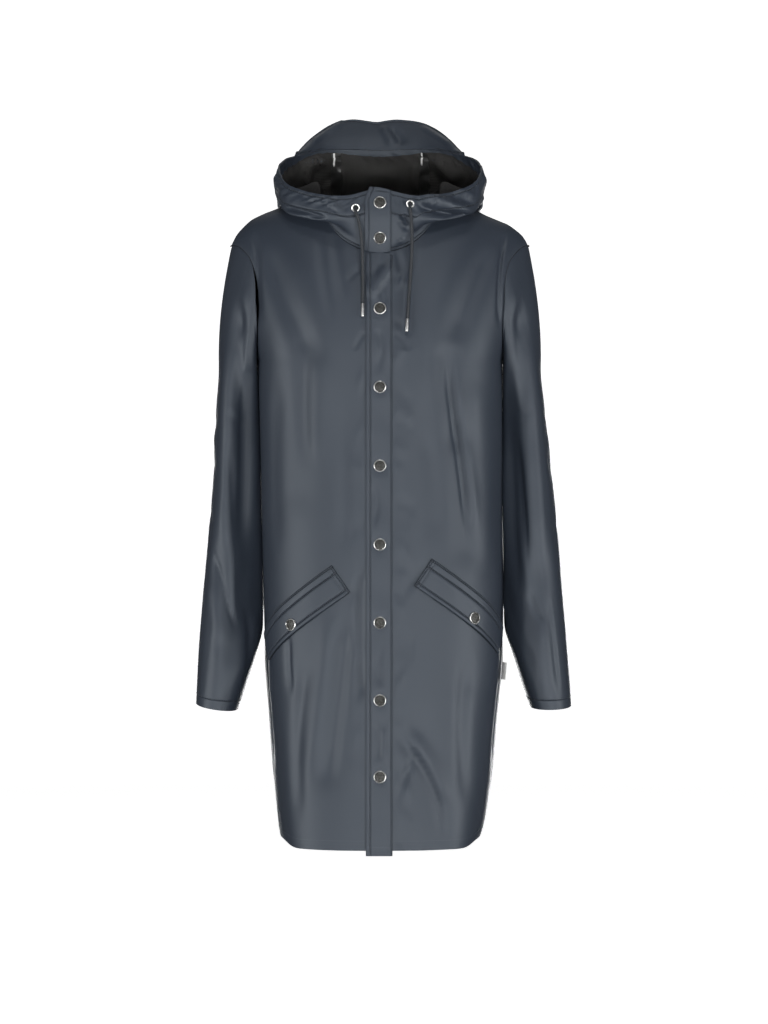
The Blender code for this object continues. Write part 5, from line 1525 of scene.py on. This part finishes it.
    def brim(self, wardrobe: Wardrobe, coarse: Array, angles: Array) -> None:
        """The stiff crescent on the back of the rim."""
        around = np.where((np.arange(len(angles)) > len(angles) // 2) & (angles < 60.0), angles + 360.0, angles)
        rim = coarse[-1][np.abs(around - 180.0) < self.brim_half_angle]
        base = refine(rim[None].repeat(2, axis=0), np.zeros(1), marks(len(rim) - 1, 8))[0]
        sides = np.abs(base[:, 0])
        edge = np.stack([base[:, 0], smooth(sides, column(self.brim_edge, 0), column(self.brim_edge, 2)),
                         smooth(sides, column(self.brim_edge, 0), column(self.brim_edge, 1))], axis=-1)
        base = base + np.array([0.0, 0.0, 0.3])
        edge[:, 2] = np.maximum(edge[:, 2], base[:, 2] + 4.5)
        base[:, 2] -= 2.6
        edge[:, 2] += 0.8 * np.sin(base[:, 0] / 11.0) * np.exp(-(base[:, 0] / 70.0) ** 2) - np.exp(
            -((base[:, 0] + 5.0) / 8.0) ** 2) * 0.9 - 1.6 * ease((base[:, 0] - 14.0) / 26.0)
        rows = [base + (edge - base) * share - np.array([0.0, 4.0 * math.sin(math.pi * share), 0.0])
                for share in np.sort(np.concatenate([np.linspace(0.0, 1.0, 15), [0.02, 0.05, 0.95, 0.98]]))]
        grid = ClothGrid(np.stack(rows))
        grid.drape(Drape({Side.BACK: (), Side.FRONT: ()}, 0.35, 50.0, 21))
        x, z = grid.points[..., 0], grid.points[..., 2]
        dent = crease(6.0, 2.8, (12.0, 108.0), (26.0, 92.0), (34.0, 78.0)).height(x, z)
        dent += crease(5.0, -2.8, (0.0, 112.0), (12.0, 94.0), (20.0, 76.0)).height(x, z)
        for number in range(8):
            at, up = -98.0 + number * 5.0, 76.0 + number * 3.9
            dent += crease(2.0, -2.4, (at, up), (at + 7.0, up + 15.0)).height(x, z)
            dent += crease(2.6, -1.6, (-at + 8.0, up - 6.0), (-at - 2.0, up + 7.0)).height(x, z)
        foot = grid.away(Edge.START)
        grid.push(dent + 1.3 * np.exp(-((foot - 3.2) / 1.7) ** 2))
        grid.sink_edges((Edge.END,), 0.7, 1.4)
        grid.topstitch(wardrobe.sewing, Edge.END, 4.2)
        grid.topstitch(wardrobe.sewing, Edge.START, 5.8)
        wardrobe.sheet(grid, "cloth_hood_brim", (300.0, 72.0), ("hood_brim",), 1.8,
                       finishes=(wardrobe.cloth, wardrobe.cloth))

    def placket_top(self, wardrobe: Wardrobe, coarse: Array) -> None:
        """The part of the placket that lies on the hood's front, with its two snaps."""
        rows = coarse.shape[0]
        strip = np.empty((rows, 4, 3))
        for number, x in enumerate(np.linspace(*self.placket_edges, 4)):
            for row in range(rows):
                line = np.concatenate([coarse[row, -4:], coarse[row, :4]])
                line = line[np.argsort(line[:, 0])]
                strip[row, number] = [x] + [np.interp(x, line[:, 0], line[:, axis]) for axis in (1, 2)]
        strip[-1, :, 2] += np.linspace(6.0, 0.0, 4)
        strip[-1, :, 0] += np.linspace(6.5, 0.0, 4)
        coarse_strip = ClothGrid(strip)
        fine = refine(strip + coarse_strip.normals * 2.9, marks(rows - 1, 3), marks(3, 7))
        grid = ClothGrid(fine)
        for z in self.snaps:
            far = np.hypot(grid.points[..., 0], grid.points[..., 2] - z)
            grid.push(-0.9 * np.exp(-(far / 10.0) ** 2))
        grid.sink_edges((Edge.LAST,), 1.9, 1.6)
        grid.sink_edges((Edge.FIRST, Edge.END), 0.5, 1.2)
        grid.topstitch(wardrobe.sewing, Edge.FIRST, 6.0)
        grid.topstitch(wardrobe.sewing, Edge.END, 5.0)
        wardrobe.sheet(grid, "cloth_placket_top", (38.0, 92.0), ("placket_top",), 1.6,
                       finishes=(wardrobe.cloth, wardrobe.cloth))
        for number, z in enumerate(self.snaps, start=1):
            point, way = grid.nearest(0.0, z)
            snap_cap(wardrobe, "snap_cap_%d" % number, point + way * 0.1, way)


@dataclass
class Sleeves:
    """The two sleeves, tubes from the armhole to the cuff."""

    form: BodyForm
    plan: PanelPlan
    sections: Table = (     # height, outer left, inner left, outer right, inner right, centre y, depth
        (-262.0, 226.0, 158.0, 226.5, 158.0, 13.0, 140.0), (-306.0, 231.0, 158.0, 229.8, 158.0, 14.0, 142.0),
        (-350.0, 235.2, 158.0, 231.7, 158.0, 15.0, 142.0), (-406.0, 242.2, 159.0, 234.2, 158.0, 14.0, 139.0),
        (-462.0, 247.8, 160.0, 239.4, 158.0, 11.0, 134.0), (-518.0, 252.0, 162.0, 243.6, 158.0, 7.0, 129.0),
        (-570.0, 256.0, 165.0, 247.6, 160.0, 1.0, 124.0), (-610.0, 259.0, 173.0, 250.6, 164.0, -4.0, 120.0),
        (-645.0, 261.6, 184.5, 253.0, 173.0, -8.0, 114.0), (-684.0, 264.6, 196.5, 255.0, 185.5, -12.0, 107.0),
        (-720.0, 266.5, 208.5, 256.5, 197.5, -16.0, 100.0),
    )
    squareness: float = 2.2
    tilt: float = 0.07
    head_shares: tuple[float, ...] = (0.12, 0.28, 0.46, 0.64, 0.82)
    bulge: float = 6.0
    clearance: float = 2.2
    underarm: float = 0.2
    cuff_stitch: float = 14.0
    turned_away: dict[int, tuple[float, ...]] = field(default_factory=lambda: {     # where, width, depth, lowest z
        1: (208.0, 40.0, 24.0, -665.0), -1: (214.0, 46.0, 27.0, -680.0)})
    folds: Table = ((196.0, -190.0, 200.0, -470.0, 15.0, -9.0), (216.0, -520.0, 206.0, -640.0, 13.0, -7.0))
    left: Drape = field(default_factory=lambda: Drape({
        Side.FRONT: (
            crease(11.0, -3.1, (176.0, -230.0), (181.0, -330.0), (186.0, -440.0), (192.0, -530.0), (206.0, -610.0)),
            crease(13.8, 1.5, (226.0, -150.0), (232.0, -300.0), (240.0, -430.0)),
            crease(5.8, -3.1, (178.0, -323.0), (183.5, -434.0), (186.0, -517.0), (194.0, -573.0)),
            crease(5.8, -3.4, (189.0, -337.0), (200.0, -462.0), (208.0, -559.0), steep=0.6),
            crease(10.3, 2.2, (204.0, -340.0), (214.0, -460.0), (222.0, -550.0)),
            crease(4.6, -3.1, (206.0, -556.0), (214.0, -582.0), (228.0, -604.0), steep=0.5),
            crease(11.5, 1.9, (214.0, -600.0), (222.0, -650.0), (226.0, -705.0)),
            crease(4.6, -2.4, (230.8, -559.0), (240.0, -630.0), (248.0, -705.0), steep=0.5),
            crease(3.4, -1.4, (182.0, -308.0), (198.0, -314.0), (214.0, -312.0)),
            crease(6.9, -2.0, (240.0, -430.0), (246.0, -480.0), (250.0, -520.0), steep=0.5),
        ),
        Side.LEFT: (
            crease(9.2, -1.1, (-20.0, -300.0), (10.0, -322.0), (50.0, -330.0)),
            crease(8.0, -1.1, (-30.0, -370.0), (0.0, -392.0), (40.0, -400.0)),
            crease(10.3, 1.1, (-20.0, -345.0), (14.0, -362.0), (50.0, -370.0)),
            crease(9.2, -1.2, (30.0, -440.0), (0.0, -470.0), (-40.0, -480.0)),
            crease(9.2, -1.5, (30.0, -180.0), (26.0, -330.0), (14.0, -520.0)),
        ),
        Side.BACK: (
            crease(9.2, -2.0, (176.0, -240.0), (190.0, -330.0), (206.0, -400.0)),
            crease(9.2, 1.8, (220.0, -260.0), (228.0, -380.0), (236.0, -500.0)),
            crease(8.0, -2.1, (186.0, -430.0), (210.0, -470.0), (236.0, -480.0)),
            crease(8.0, -1.8, (200.0, -540.0), (216.0, -620.0), (226.0, -690.0)),
        ),
    }, 0.35, 85.0, 31))
    right: Drape = field(default_factory=lambda: Drape({
        Side.FRONT: (
            crease(11.0, -3.1, (-178.0, -200.0), (-184.0, -320.0), (-186.0, -420.0), (-184.0, -520.0),
                   (-194.0, -630.0)),
            crease(13.8, 1.5, (-225.0, -156.0), (-219.0, -295.0), (-220.0, -406.0), (-226.0, -490.0)),
            crease(9.0, -4.4, (-196.0, -198.0), (-190.0, -295.0), (-188.0, -392.0), (-187.0, -520.0)),
            crease(5.8, -3.1, (-211.0, -337.0), (-200.0, -462.0), (-194.6, -559.0), (-195.0, -615.0), steep=1.7),
            crease(3.0, -1.7, (-216.0, -309.0), (-200.0, -322.0), (-184.0, -334.0)),
            crease(4.0, 1.4, (-214.0, -304.0), (-198.0, -317.0), (-184.0, -329.0)),
            crease(4.6, -3.6, (-233.5, -497.0), (-214.0, -559.0), (-197.0, -619.0), steep=0.45),
            crease(10.3, 2.2, (-240.0, -540.0), (-228.0, -590.0), (-212.0, -640.0)),
            crease(4.0, -2.4, (-186.0, -573.0), (-180.6, -629.0), (-185.0, -700.0)),
            crease(9.2, 1.8, (-178.0, -250.0), (-176.0, -400.0), (-182.0, -520.0)),
        ),
        Side.RIGHT: (
            crease(9.2, -1.1, (-30.0, -310.0), (0.0, -326.0), (46.0, -322.0)),
            crease(9.2, 1.1, (-24.0, -340.0), (14.0, -352.0), (50.0, -346.0)),
            crease(8.0, -1.1, (-34.0, -380.0), (0.0, -384.0), (44.0, -404.0)),
            crease(9.2, -1.1, (36.0, -470.0), (0.0, -452.0), (-36.0, -470.0)),
            crease(9.2, -1.5, (24.0, -170.0), (30.0, -340.0), (8.0, -530.0)),
        ),
        Side.BACK: (
            crease(9.2, -2.0, (-178.0, -250.0), (-196.0, -340.0), (-210.0, -390.0)),
            crease(9.2, 1.8, (-216.0, -270.0), (-224.0, -400.0), (-232.0, -520.0)),
            crease(8.0, -2.1, (-184.0, -440.0), (-206.0, -462.0), (-230.0, -466.0)),
            crease(8.0, -1.8, (-196.0, -560.0), (-210.0, -630.0), (-220.0, -700.0)),
        ),
    }, 0.35, 85.0, 37))

    def ring(self, row: Sequence[float], side: int, shares: Array) -> Array:
        """Points of one ring below the armhole at shares of its length."""
        outer_x, inner_x = (row[1], row[2]) if side > 0 else (row[3], row[4])
        turn = np.linspace(0.0, 2 * math.pi, 361)
        cosine, sine = np.cos(turn), np.sin(turn)
        reach = (np.abs(cosine) ** self.squareness + np.abs(sine) ** self.squareness) ** (1 / self.squareness)
        x = (outer_x + inner_x) / 2 - (outer_x - inner_x) / 2 * cosine / reach
        y = row[5] - row[6] / 2 * sine / reach
        walked = travelled(np.stack([x, y], axis=-1))
        x, y = (np.interp(shares * walked[-1], walked, values) for values in (x, y))
        rise = {1: 0.03, -1: 0.15}[side] * (row[0] / self.sections[-1][0]) ** 4
        z = row[0] + self.tilt * (y - row[5]) + rise * (x - (outer_x + inner_x) / 2)
        return np.stack([self.clear(side, x, y, z, self.clearance), y, z], axis=-1)

    def clear(self, side: int, x: Array, y: Array, z: Array, gap: float) -> Array:
        """Distance from the middle, moved out where the sleeve would touch the body's side."""
        half, centre, front, back, square = self.form.section(z)
        rise = np.clip((z - self.form.underarm_z) / (self.form.shoulder[-1][1] - self.form.underarm_z), 0.0, 1.0)
        half = half + (self.form.tip_x - half) * rise
        inside = np.clip(1.0 - (np.abs(y) / np.where(y < 0.0, front, back)) ** square, 0.0, 1.0)
        return np.maximum(x, half * inside ** (1.0 / square) + side * centre + gap)

    def coarse(self, side: int) -> Array:
        """The solid's own rings, from the armhole down."""
        mirror = np.array([side, 1.0, 1.0])
        seam, seam_normals = self.plan.armhole_loop(side)
        seam, seam_normals = seam * mirror, seam_normals * mirror
        steps = np.linalg.norm(np.diff(np.vstack([seam, seam[:1]]), axis=0), axis=1)
        shares = np.concatenate([[0.0], np.cumsum(steps)[:-1]]) / np.sum(steps)
        rings = [self.ring(row, side, shares) for row in self.sections]
        lift = np.sin(math.pi * shares) ** 2
        low = (shares < self.underarm) | (shares > 1.0 - self.underarm)
        head = [seam]
        for share in self.head_shares:
            ring = seam * (1.0 - share) + rings[0] * share
            ring[:, 0] += self.bulge * math.sin(math.pi * share) * lift
            pushed = self.clear(side, ring[:, 0], ring[:, 1], ring[:, 2], self.clearance * min(1.0, 3 * share))
            ring[:, 0] = np.where(low, pushed, ring[:, 0])
            head.append(ring)
        grid = np.stack(head + rings)
        along = np.roll(seam, -1, axis=0) - np.roll(seam, 1, axis=0)
        way = unit(np.cross(along, seam_normals)) + unit(grid[1] - seam) + 0.3 * seam_normals
        grid[0] = seam + 0.3 * unit(way)
        made = ClothGrid(grid, closed=True, flip=True)
        moved = BodyForm.folds(self.folds, grid[..., 0], grid[..., 2])
        moved[0] = 0.0
        facing = np.clip(-made.normals[..., 1] * 1.6, 0.0, 1.0)
        return (grid + made.normals * (moved * facing)[..., None]) * mirror

    def turn_away(self, points: Array, side: int) -> Array:
        """The sleeve with its front's inner half falling back towards the body."""
        start, width, depth, lowest = self.turned_away[side]
        x, y, z = np.abs(points[..., 0]), points[..., 1], points[..., 2]
        inner = ease((start + np.clip(-z - 560.0, 0.0, 90.0) * 0.15 - x) / width)
        reach = ease((-z - 230.0) / 110.0) * ease((z - lowest) / 90.0)
        points[..., 1] = y + depth * inner * reach * ease((4.0 - y) / 50.0)
        return points

    def build(self, wardrobe: Wardrobe) -> None:
        """Make both sleeves, with the cuffs' stitching."""
        for name, side, drape, area in (("sleeve_left", 1, self.left, 0.225), ("sleeve_right", -1, self.right, 0.22)):
            coarse = self.coarse(side)
            rows = marks(coarse.shape[0] - 1, 8)
            columns = np.round(np.arange(0.0, coarse.shape[1], 0.25), 4)
            points = self.turn_away(refine(coarse, rows, columns, closed=True), side)
            grid = ClothGrid(points, closed=True, flip=side > 0)
            calm = ease(grid.away(Edge.START) / 30.0) * ease((grid.away(Edge.END) + 12.0) / 30.0)
            clear = ease((np.abs(grid.points[..., 0]) - 166.0) / 12.0)
            grid.drape(drape, calm * (0.2 + 0.8 * clear))
            grid.sink_edges((Edge.START,), 0.8, 2.2)
            grid.topstitch(wardrobe.sewing, Edge.END, self.cuff_stitch)
            wardrobe.sheet(grid, "cloth_" + name, (430.0, 650.0), (name,))


@dataclass
class Pockets:
    """The slanting pocket flaps and their snaps."""

    form: BodyForm
    corners: tuple[tuple[int, float, float], ...] = ((1, 70.5, -514.0), (-1, -65.5, -523.0))
    length: float = 168.0
    depth: float = 45.0
    slope: float = math.radians(34.5)
    steps: int = 14
    lift: float = 0.8
    thickness: float = 2.0
    snap: tuple[float, float] = (96.0, 33.0)

    def girth(self, side: int, z: float) -> tuple[Array, Array, Array]:
        """Angles round the front at a height, their x and the girth from the middle."""
        angles = np.linspace(0.0, 92.0, 200) * side
        points = self.form.point(angles, self.form.low_level(z))
        return angles, points[:, 0], travelled(points)

    def place(self, side: int, corner_x: float, corner_z: float, along: float, down: float) -> tuple[float, float]:
        """Angle and level of a point of a flap, given from its upper inner corner."""
        _, places_x, girth = self.girth(side, corner_z)
        start = np.interp(side * corner_x, side * places_x, girth)
        reach = start + along * math.cos(self.slope) - down * math.sin(self.slope)
        z = corner_z - along * math.sin(self.slope) - down * math.cos(self.slope)
        angles, _, girth = self.girth(side, z)
        return float(np.interp(reach, girth, angles * side)) * side, self.form.low_level(z)

    def build(self, wardrobe: Wardrobe) -> None:
        """Make both flaps with their frames of stitching, and the snap in each."""
        for side, corner_x, corner_z in self.corners:
            name = "left" if side > 0 else "right"
            places = np.array([[self.place(side, corner_x, corner_z, along, down)
                                for along in np.linspace(0.0, self.length, self.steps + 1)]
                               for down in np.linspace(self.depth, 0.0, 4)])
            fine = refine(places, marks(3, 12), marks(self.steps, 5))
            points, normals = self.form.frame(fine[..., 0], fine[..., 1])
            grid = ClothGrid(points + normals * (self.lift + self.thickness), normals)
            grid.flip = float((grid.directions() * normals).sum()) < 0.0
            grid.drape(Drape({}, 0.35, 60.0, 41))
            top, end, foot = grid.away(Edge.END), grid.away(Edge.FIRST), grid.away(Edge.START)
            inside = ease((end - 5.0) / 3.0)
            grid.push(-0.6 * np.exp(-((top - 13.0) / 1.6) ** 2) * inside + 0.7 * np.exp(-((foot - 3.0) / 3.0) ** 2)
                      - 0.45 * np.exp(-((end - 8.5) / 1.5) ** 2) * ease((top - 9.0) / 3.0)
                      - 0.3 * np.exp(-((foot - 7.0) / 1.6) ** 2) * inside)
            grid.sink_edges((Edge.FIRST, Edge.END), 1.2, 1.0)
            grid.sink_edges((Edge.START,), 0.9, 0.9)
            grid.topstitch(wardrobe.sewing, Edge.END, 13.0)
            grid.topstitch(wardrobe.sewing, Edge.END, 3.0)
            grid.topstitch(wardrobe.sewing, Edge.FIRST, 3.0)
            grid.topstitch(wardrobe.sewing, Edge.FIRST, 8.5)
            grid.topstitch(wardrobe.sewing, Edge.START, 7.0)
            wardrobe.sheet(grid, "cloth_pocket_flap_" + name, (168.0, 45.0),
                           ("pocket_flap_" + name,), 1.6,
                           finishes=(wardrobe.cloth, wardrobe.cloth))
            angle, level = self.place(side, corner_x, corner_z, *self.snap)
            point, way = self.form.frame(angle, level)
            snap_cap(wardrobe, "pocket_snap_" + name, point + way * (self.lift + self.thickness + 0.2), way)


SNAP_RING = ((8.5, 0.0), (8.6, 0.7), (8.35, 1.5), (7.95, 2.0), (7.5, 2.1), (7.2, 1.8), (7.05, 1.3), (7.0, 0.8))
SNAP_FACE = ((7.1, 0.4), (7.0, 1.0), (6.4, 1.25), (5.0, 1.45), (3.3, 1.6), (1.6, 1.7), (0.0, 1.72))


def snap_cap(wardrobe: Wardrobe, node: str, base: Array, way: Array) -> None:
    """A snap's cap: a bright rolled ring round a duller, pitted face.

    Args:
        wardrobe: The finishes.
        node: The solid it stands for.
        base: Where it sits on the cloth.
        way: Which way it faces.
    """
    ring = turned("metal_" + node, SNAP_RING + ((7.0, 0.0),), base, way, wardrobe.snap_ring, 44, ring=True)
    wardrobe.rigid(ring, "snap_metal", node)
    face = turned("face_" + node, SNAP_FACE, base, way, wardrobe.snap_face, 44)
    wardrobe.rigid(face, "snap_metal")


@dataclass
class Drawcord:
    """The two free ends of the hood's cord, with their eyelets and metal tips."""

    form: BodyForm
    eyelets: tuple[tuple[str, float, float], ...] = (("left", 41.5, -31.0), ("right", -33.0, -36.5))
    diameter: float = 4.5
    exit_bend: Table = ((0.0, 0.0), (3.4, 0.6), (6.4, 2.6), (8.6, 6.2))
    routes: dict[str, Table] = field(default_factory=lambda: {
        "left": ((0.6, -14.0), (2.0, -34.0), (2.2, -56.0), (1.2, -82.0), (-0.6, -110.0), (-2.6, -136.0),
                 (-4.0, -157.0)),
        "right": ((2.5, -13.0), (6.4, -30.0), (8.6, -50.0), (9.6, -76.0), (9.8, -104.0), (9.6, -131.0)),
    })
    fall_back: float = 0.05
    rest_gap: float = 0.6
    sides: int = 16

    def chest_y(self, x: float, z: float) -> float:
        """How far forward the chest's cloth comes at x and z."""
        level = self.form.front_level(min(z, -96.0))
        return float(self.form.frame(self.form.front_angle(x, level), level)[0][1])

    def route(self, name: str, x: float, z: float, start: Array) -> Array:
        """The cord's own line, from its eyelet to its tip."""
        radius = self.diameter / 2
        points = [start + np.array([0.0, -out, -down]) for out, down in self.exit_bend]
        for sideways, down in self.routes[name]:
            resting = self.chest_y(x + sideways, z + down) - radius - self.rest_gap
            hanging = start[1] - self.exit_bend[-1][0] + self.fall_back * (-down)
            points.append(np.array([x + sideways, min(resting, hanging), z + down]))
        return smooth_path(points, 26)

    def tube(self, name: str, line: Array, material: bpy.types.Material) -> bpy.types.Object:
        """A round mesh along a line, with closed ends and its own texture places."""
        along = unit(np.gradient(line, axis=0))
        beside = unit(np.cross(along, np.array([0.0, 1.0, 0.0])))
        other = np.cross(along, beside)
        turn = np.linspace(0.0, 2 * math.pi, self.sides + 1)[:-1]
        rings = line[:, None] + self.diameter / 2 * (beside[:, None] * np.cos(turn)[None, :, None]
                                                     + other[:, None] * np.sin(turn)[None, :, None])
        count = self.sides
        faces = [[row * count + n, row * count + (n + 1) % count, (row + 1) * count + (n + 1) % count,
                  (row + 1) * count + n] for row in range(len(line) - 1) for n in range(count)]
        faces += [list(range(count))[::-1], [(len(line) - 1) * count + n for n in range(count)]]
        item = add_mesh(name, rings.reshape(-1, 3), faces, material, 60.0)
        walked = travelled(line) * MM
        layer = item.data.uv_layers.new(name="cloth")
        for polygon in item.data.polygons:
            for loop in polygon.loop_indices:
                row, n = divmod(item.data.loops[loop].vertex_index, count)
                wrapped = n + count if n == 0 and polygon.index % count == count - 1 else n
                layer.data[loop].uv = (wrapped / count, walked[row])
        return item

    def build(self, wardrobe: Wardrobe, hood: ClothGrid) -> None:
        """Make the eyelets, the cords and their tips on the hood's front."""
        for name, x, z in self.eyelets:
            low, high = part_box("eyelet_" + name)
            point, way = hood.nearest(x, z)
            point = np.array([(low[0] + high[0]) / 2, 0.0, (low[2] + high[2]) / 2]) / MM
            point[1] = (high[1] / MM) - 0.9
            ring = ((3.3, 0.0), (5.8, 0.0), (5.85, 0.5), (5.5, 1.2), (4.8, 1.5), (4.1, 1.35), (3.55, 0.9), (3.3, 0.5))
            wardrobe.rigid(turned("metal_eyelet_" + name, ring, point, way, wardrobe.snap_ring, 36, ring=True),
                           "snap_metal", "eyelet_" + name)
            # A near-black disc in each eyelet paints the shadow inside its hole
            wardrobe.rigid(turned("hole_eyelet_" + name, ((3.45, 0.0), (3.45, 0.25), (0.0, 0.25)), point, way,
                                  wardrobe.hole_shadow, 24), "shell")
            start = point + way * 1.9
            line = np.concatenate([[point + way * 0.3], self.route(name, x, z, start)])
            cord = self.tube("braid_cord_" + name, line, wardrobe.cord)
            end, before = line[-1], line[-2]
            down = unit(end - before)
            tip = turned("metal_cord_tip_" + name, ((1.9, 0.0), (2.15, 0.35), (2.15, 16.9), (1.9, 17.6), (1.2, 18.0),
                                                    (0.0, 18.0)), end + down * 0.05, down, wardrobe.tip, 24)
            wardrobe.rigid(cord, "drawcord", "cord_" + name)
            wardrobe.rigid(tip, "snap_metal", "cord_tip_" + name)


@dataclass
class SideLabel:
    """The small blank label in the side seam."""

    form: BodyForm
    middle_z: float = -672.0
    width: float = 9.0
    height: float = 24.0
    angle: float = 83.0
    reach: float = 128.0

    def build(self, wardrobe: Wardrobe) -> None:
        """Make the folded tab with its sewn end."""
        levels = [self.form.low_level(self.middle_z + share * self.height) for share in np.linspace(-0.5, 0.5, 13)]
        half = math.degrees(self.width / 2 / self.reach)
        angles = np.linspace(self.angle - half, self.angle + half, 7)
        points, normals = self.form.frame(angles[None, :] * np.ones((13, 1)), np.array(levels)[:, None] * np.ones(7))
        curl = np.linspace(1.0, 0.0, 7)[None, :] ** 1.5 * 6.0
        grid = ClothGrid(points + normals * (1.2 + curl)[..., None], normals)
        grid.flip = float((grid.directions() * normals).sum()) < 0.0
        grid.topstitch(wardrobe.sewing, Edge.LAST, 1.2)
        wardrobe.sheet(grid, "cloth_side_label", (10.0, 24.0), ("side_label",), 0.7,
                       finishes=(wardrobe.label, wardrobe.label))


# ------------------------------------------------------------------------------------------------
# studio
# ------------------------------------------------------------------------------------------------
@dataclass(frozen=True)
class Lamp:
    """An area light: where it stands, what it looks at, its size and its power."""

    name: str
    place: tuple[float, float, float]
    target: tuple[float, float, float]
    size: tuple[float, float]
    power: float

    def make(self) -> None:
        """Add the light to the scene."""
        data = bpy.data.lights.new(self.name, "AREA")
        data.shape, data.size, data.size_y, data.energy = "RECTANGLE", *self.size, self.power
        lamp = bpy.data.objects.new(self.name, data)
        lamp.location = self.place
        way = Vector(self.target) - Vector(self.place)
        lamp.rotation_euler = way.to_track_quat("-Z", "Y").to_euler()
        lamp.visible_camera = False
        bpy.context.scene.collection.objects.link(lamp)


@dataclass
class Studio:
    """Camera, pale floor that sweeps up all round, and soft lights."""

    camera_place: tuple[float, float, float] = (0.0056, -4.0, -0.4508)
    lens: float = 100.45
    sensor: float = 36.0
    floor_z: float = -1.45
    radius: float = 8.0
    sweep: float = 1.5
    wall_top: float = 9.0
    ambient: float = 0.08
    lamps: tuple[Lamp, ...] = (
        Lamp("key_left", (-1.0, -4.1, -1.3), (0.0, 0.0, -0.6), (1.0, 1.0), 92.0),
        Lamp("key_right", (1.25, -4.0, -1.2), (0.0, 0.0, -0.6), (1.0, 1.0), 92.0),
        Lamp("wing_left", (-2.7, -1.5, -0.9), (0.0, 0.0, -0.6), (1.5, 1.6), 70.0),
        Lamp("wing_right", (2.7, -1.5, -0.9), (0.0, 0.0, -0.6), (1.5, 1.6), 68.0),
        Lamp("top_front", (0.15, -0.9, 2.3), (0.0, 0.05, 0.0), (0.5, 0.4), 12.0),
        Lamp("bowl", (0.3, -2.6, 1.6), (0.0, 0.1, 0.0), (0.5, 0.5), 18.0),
        Lamp("top_back", (0.0, 2.0, 2.2), (0.0, 0.0, -0.2), (1.6, 0.8), 10.0),
        Lamp("back_left", (-0.8, 4.1, -0.8), (0.0, 0.0, -0.5), (1.2, 1.2), 88.0),
        Lamp("back_right", (0.9, 4.0, -0.8), (0.0, 0.0, -0.5), (1.2, 1.2), 88.0),
    )

    def build(self) -> None:
        """Set up the camera, the sweep, the lights and how the picture is read."""
        data = bpy.data.cameras.new("camera")
        data.lens, data.sensor_width, data.clip_end = self.lens, self.sensor, 60.0
        camera = bpy.data.objects.new("camera", data)
        camera.location, camera.rotation_euler = self.camera_place, (math.radians(90.0), 0.0, 0.0)
        bpy.context.scene.collection.objects.link(camera)
        bpy.context.scene.camera = camera
        turn = np.linspace(0.0, math.pi / 2, 25)
        profile = [(self.radius - self.sweep * (1 - math.sin(t)), self.floor_z + self.sweep * (1 - math.cos(t)))
                   for t in turn] + [(self.radius, self.wall_top)]
        recipe = Recipe("studio_white")
        recipe.set(base_color=rgba(0.9, 0.9, 0.9), roughness=0.9, emission_color=rgba(1.0, 1.0, 1.0),
                   emission_strength=0.9)
        sweep = turned("studio_sweep", (np.array(profile) / MM).tolist(), np.zeros(3), np.array([0.0, 0.0, 1.0]),
                       recipe.material, 96)
        sweep.visible_glossy = sweep.visible_diffuse = False
        for lamp in self.lamps:
            lamp.make()
        world = bpy.data.worlds.new("studio_light")
        bpy.context.scene.world = world
        world.use_nodes = True
        world.node_tree.nodes["Background"].inputs[0].default_value = rgba(1.0, 1.0, 1.0)
        world.node_tree.nodes["Background"].inputs[1].default_value = self.ambient
        bpy.context.scene.view_settings.view_transform = "Standard"


def main() -> None:
    """Dress the coat, piece by piece."""
    logging.basicConfig(level=logging.INFO, format="%(message)s")
    form = BodyForm()
    plan = PanelPlan(form)
    Studio().build()
    wardrobe = Wardrobe()
    hood = Hood(form, plan).build(wardrobe)
    Drawcord(form).build(wardrobe, hood)
    Body(plan).build(wardrobe)
    placket = Placket(form, plan)
    strip = placket.build(wardrobe)
    for number, z in enumerate(placket.snaps, start=3):
        point, way = strip.nearest(0.0, z)
        snap_cap(wardrobe, "snap_cap_%d" % number, point + way * 0.1, way)
    Sleeves(form, plan).build(wardrobe)
    Pockets(form).build(wardrobe)
    SideLabel(form).build(wardrobe)
    wardrobe.rigid(wardrobe.sewing.make("stitching", wardrobe.thread), "shell")


if __name__ == "__main__":
    main()
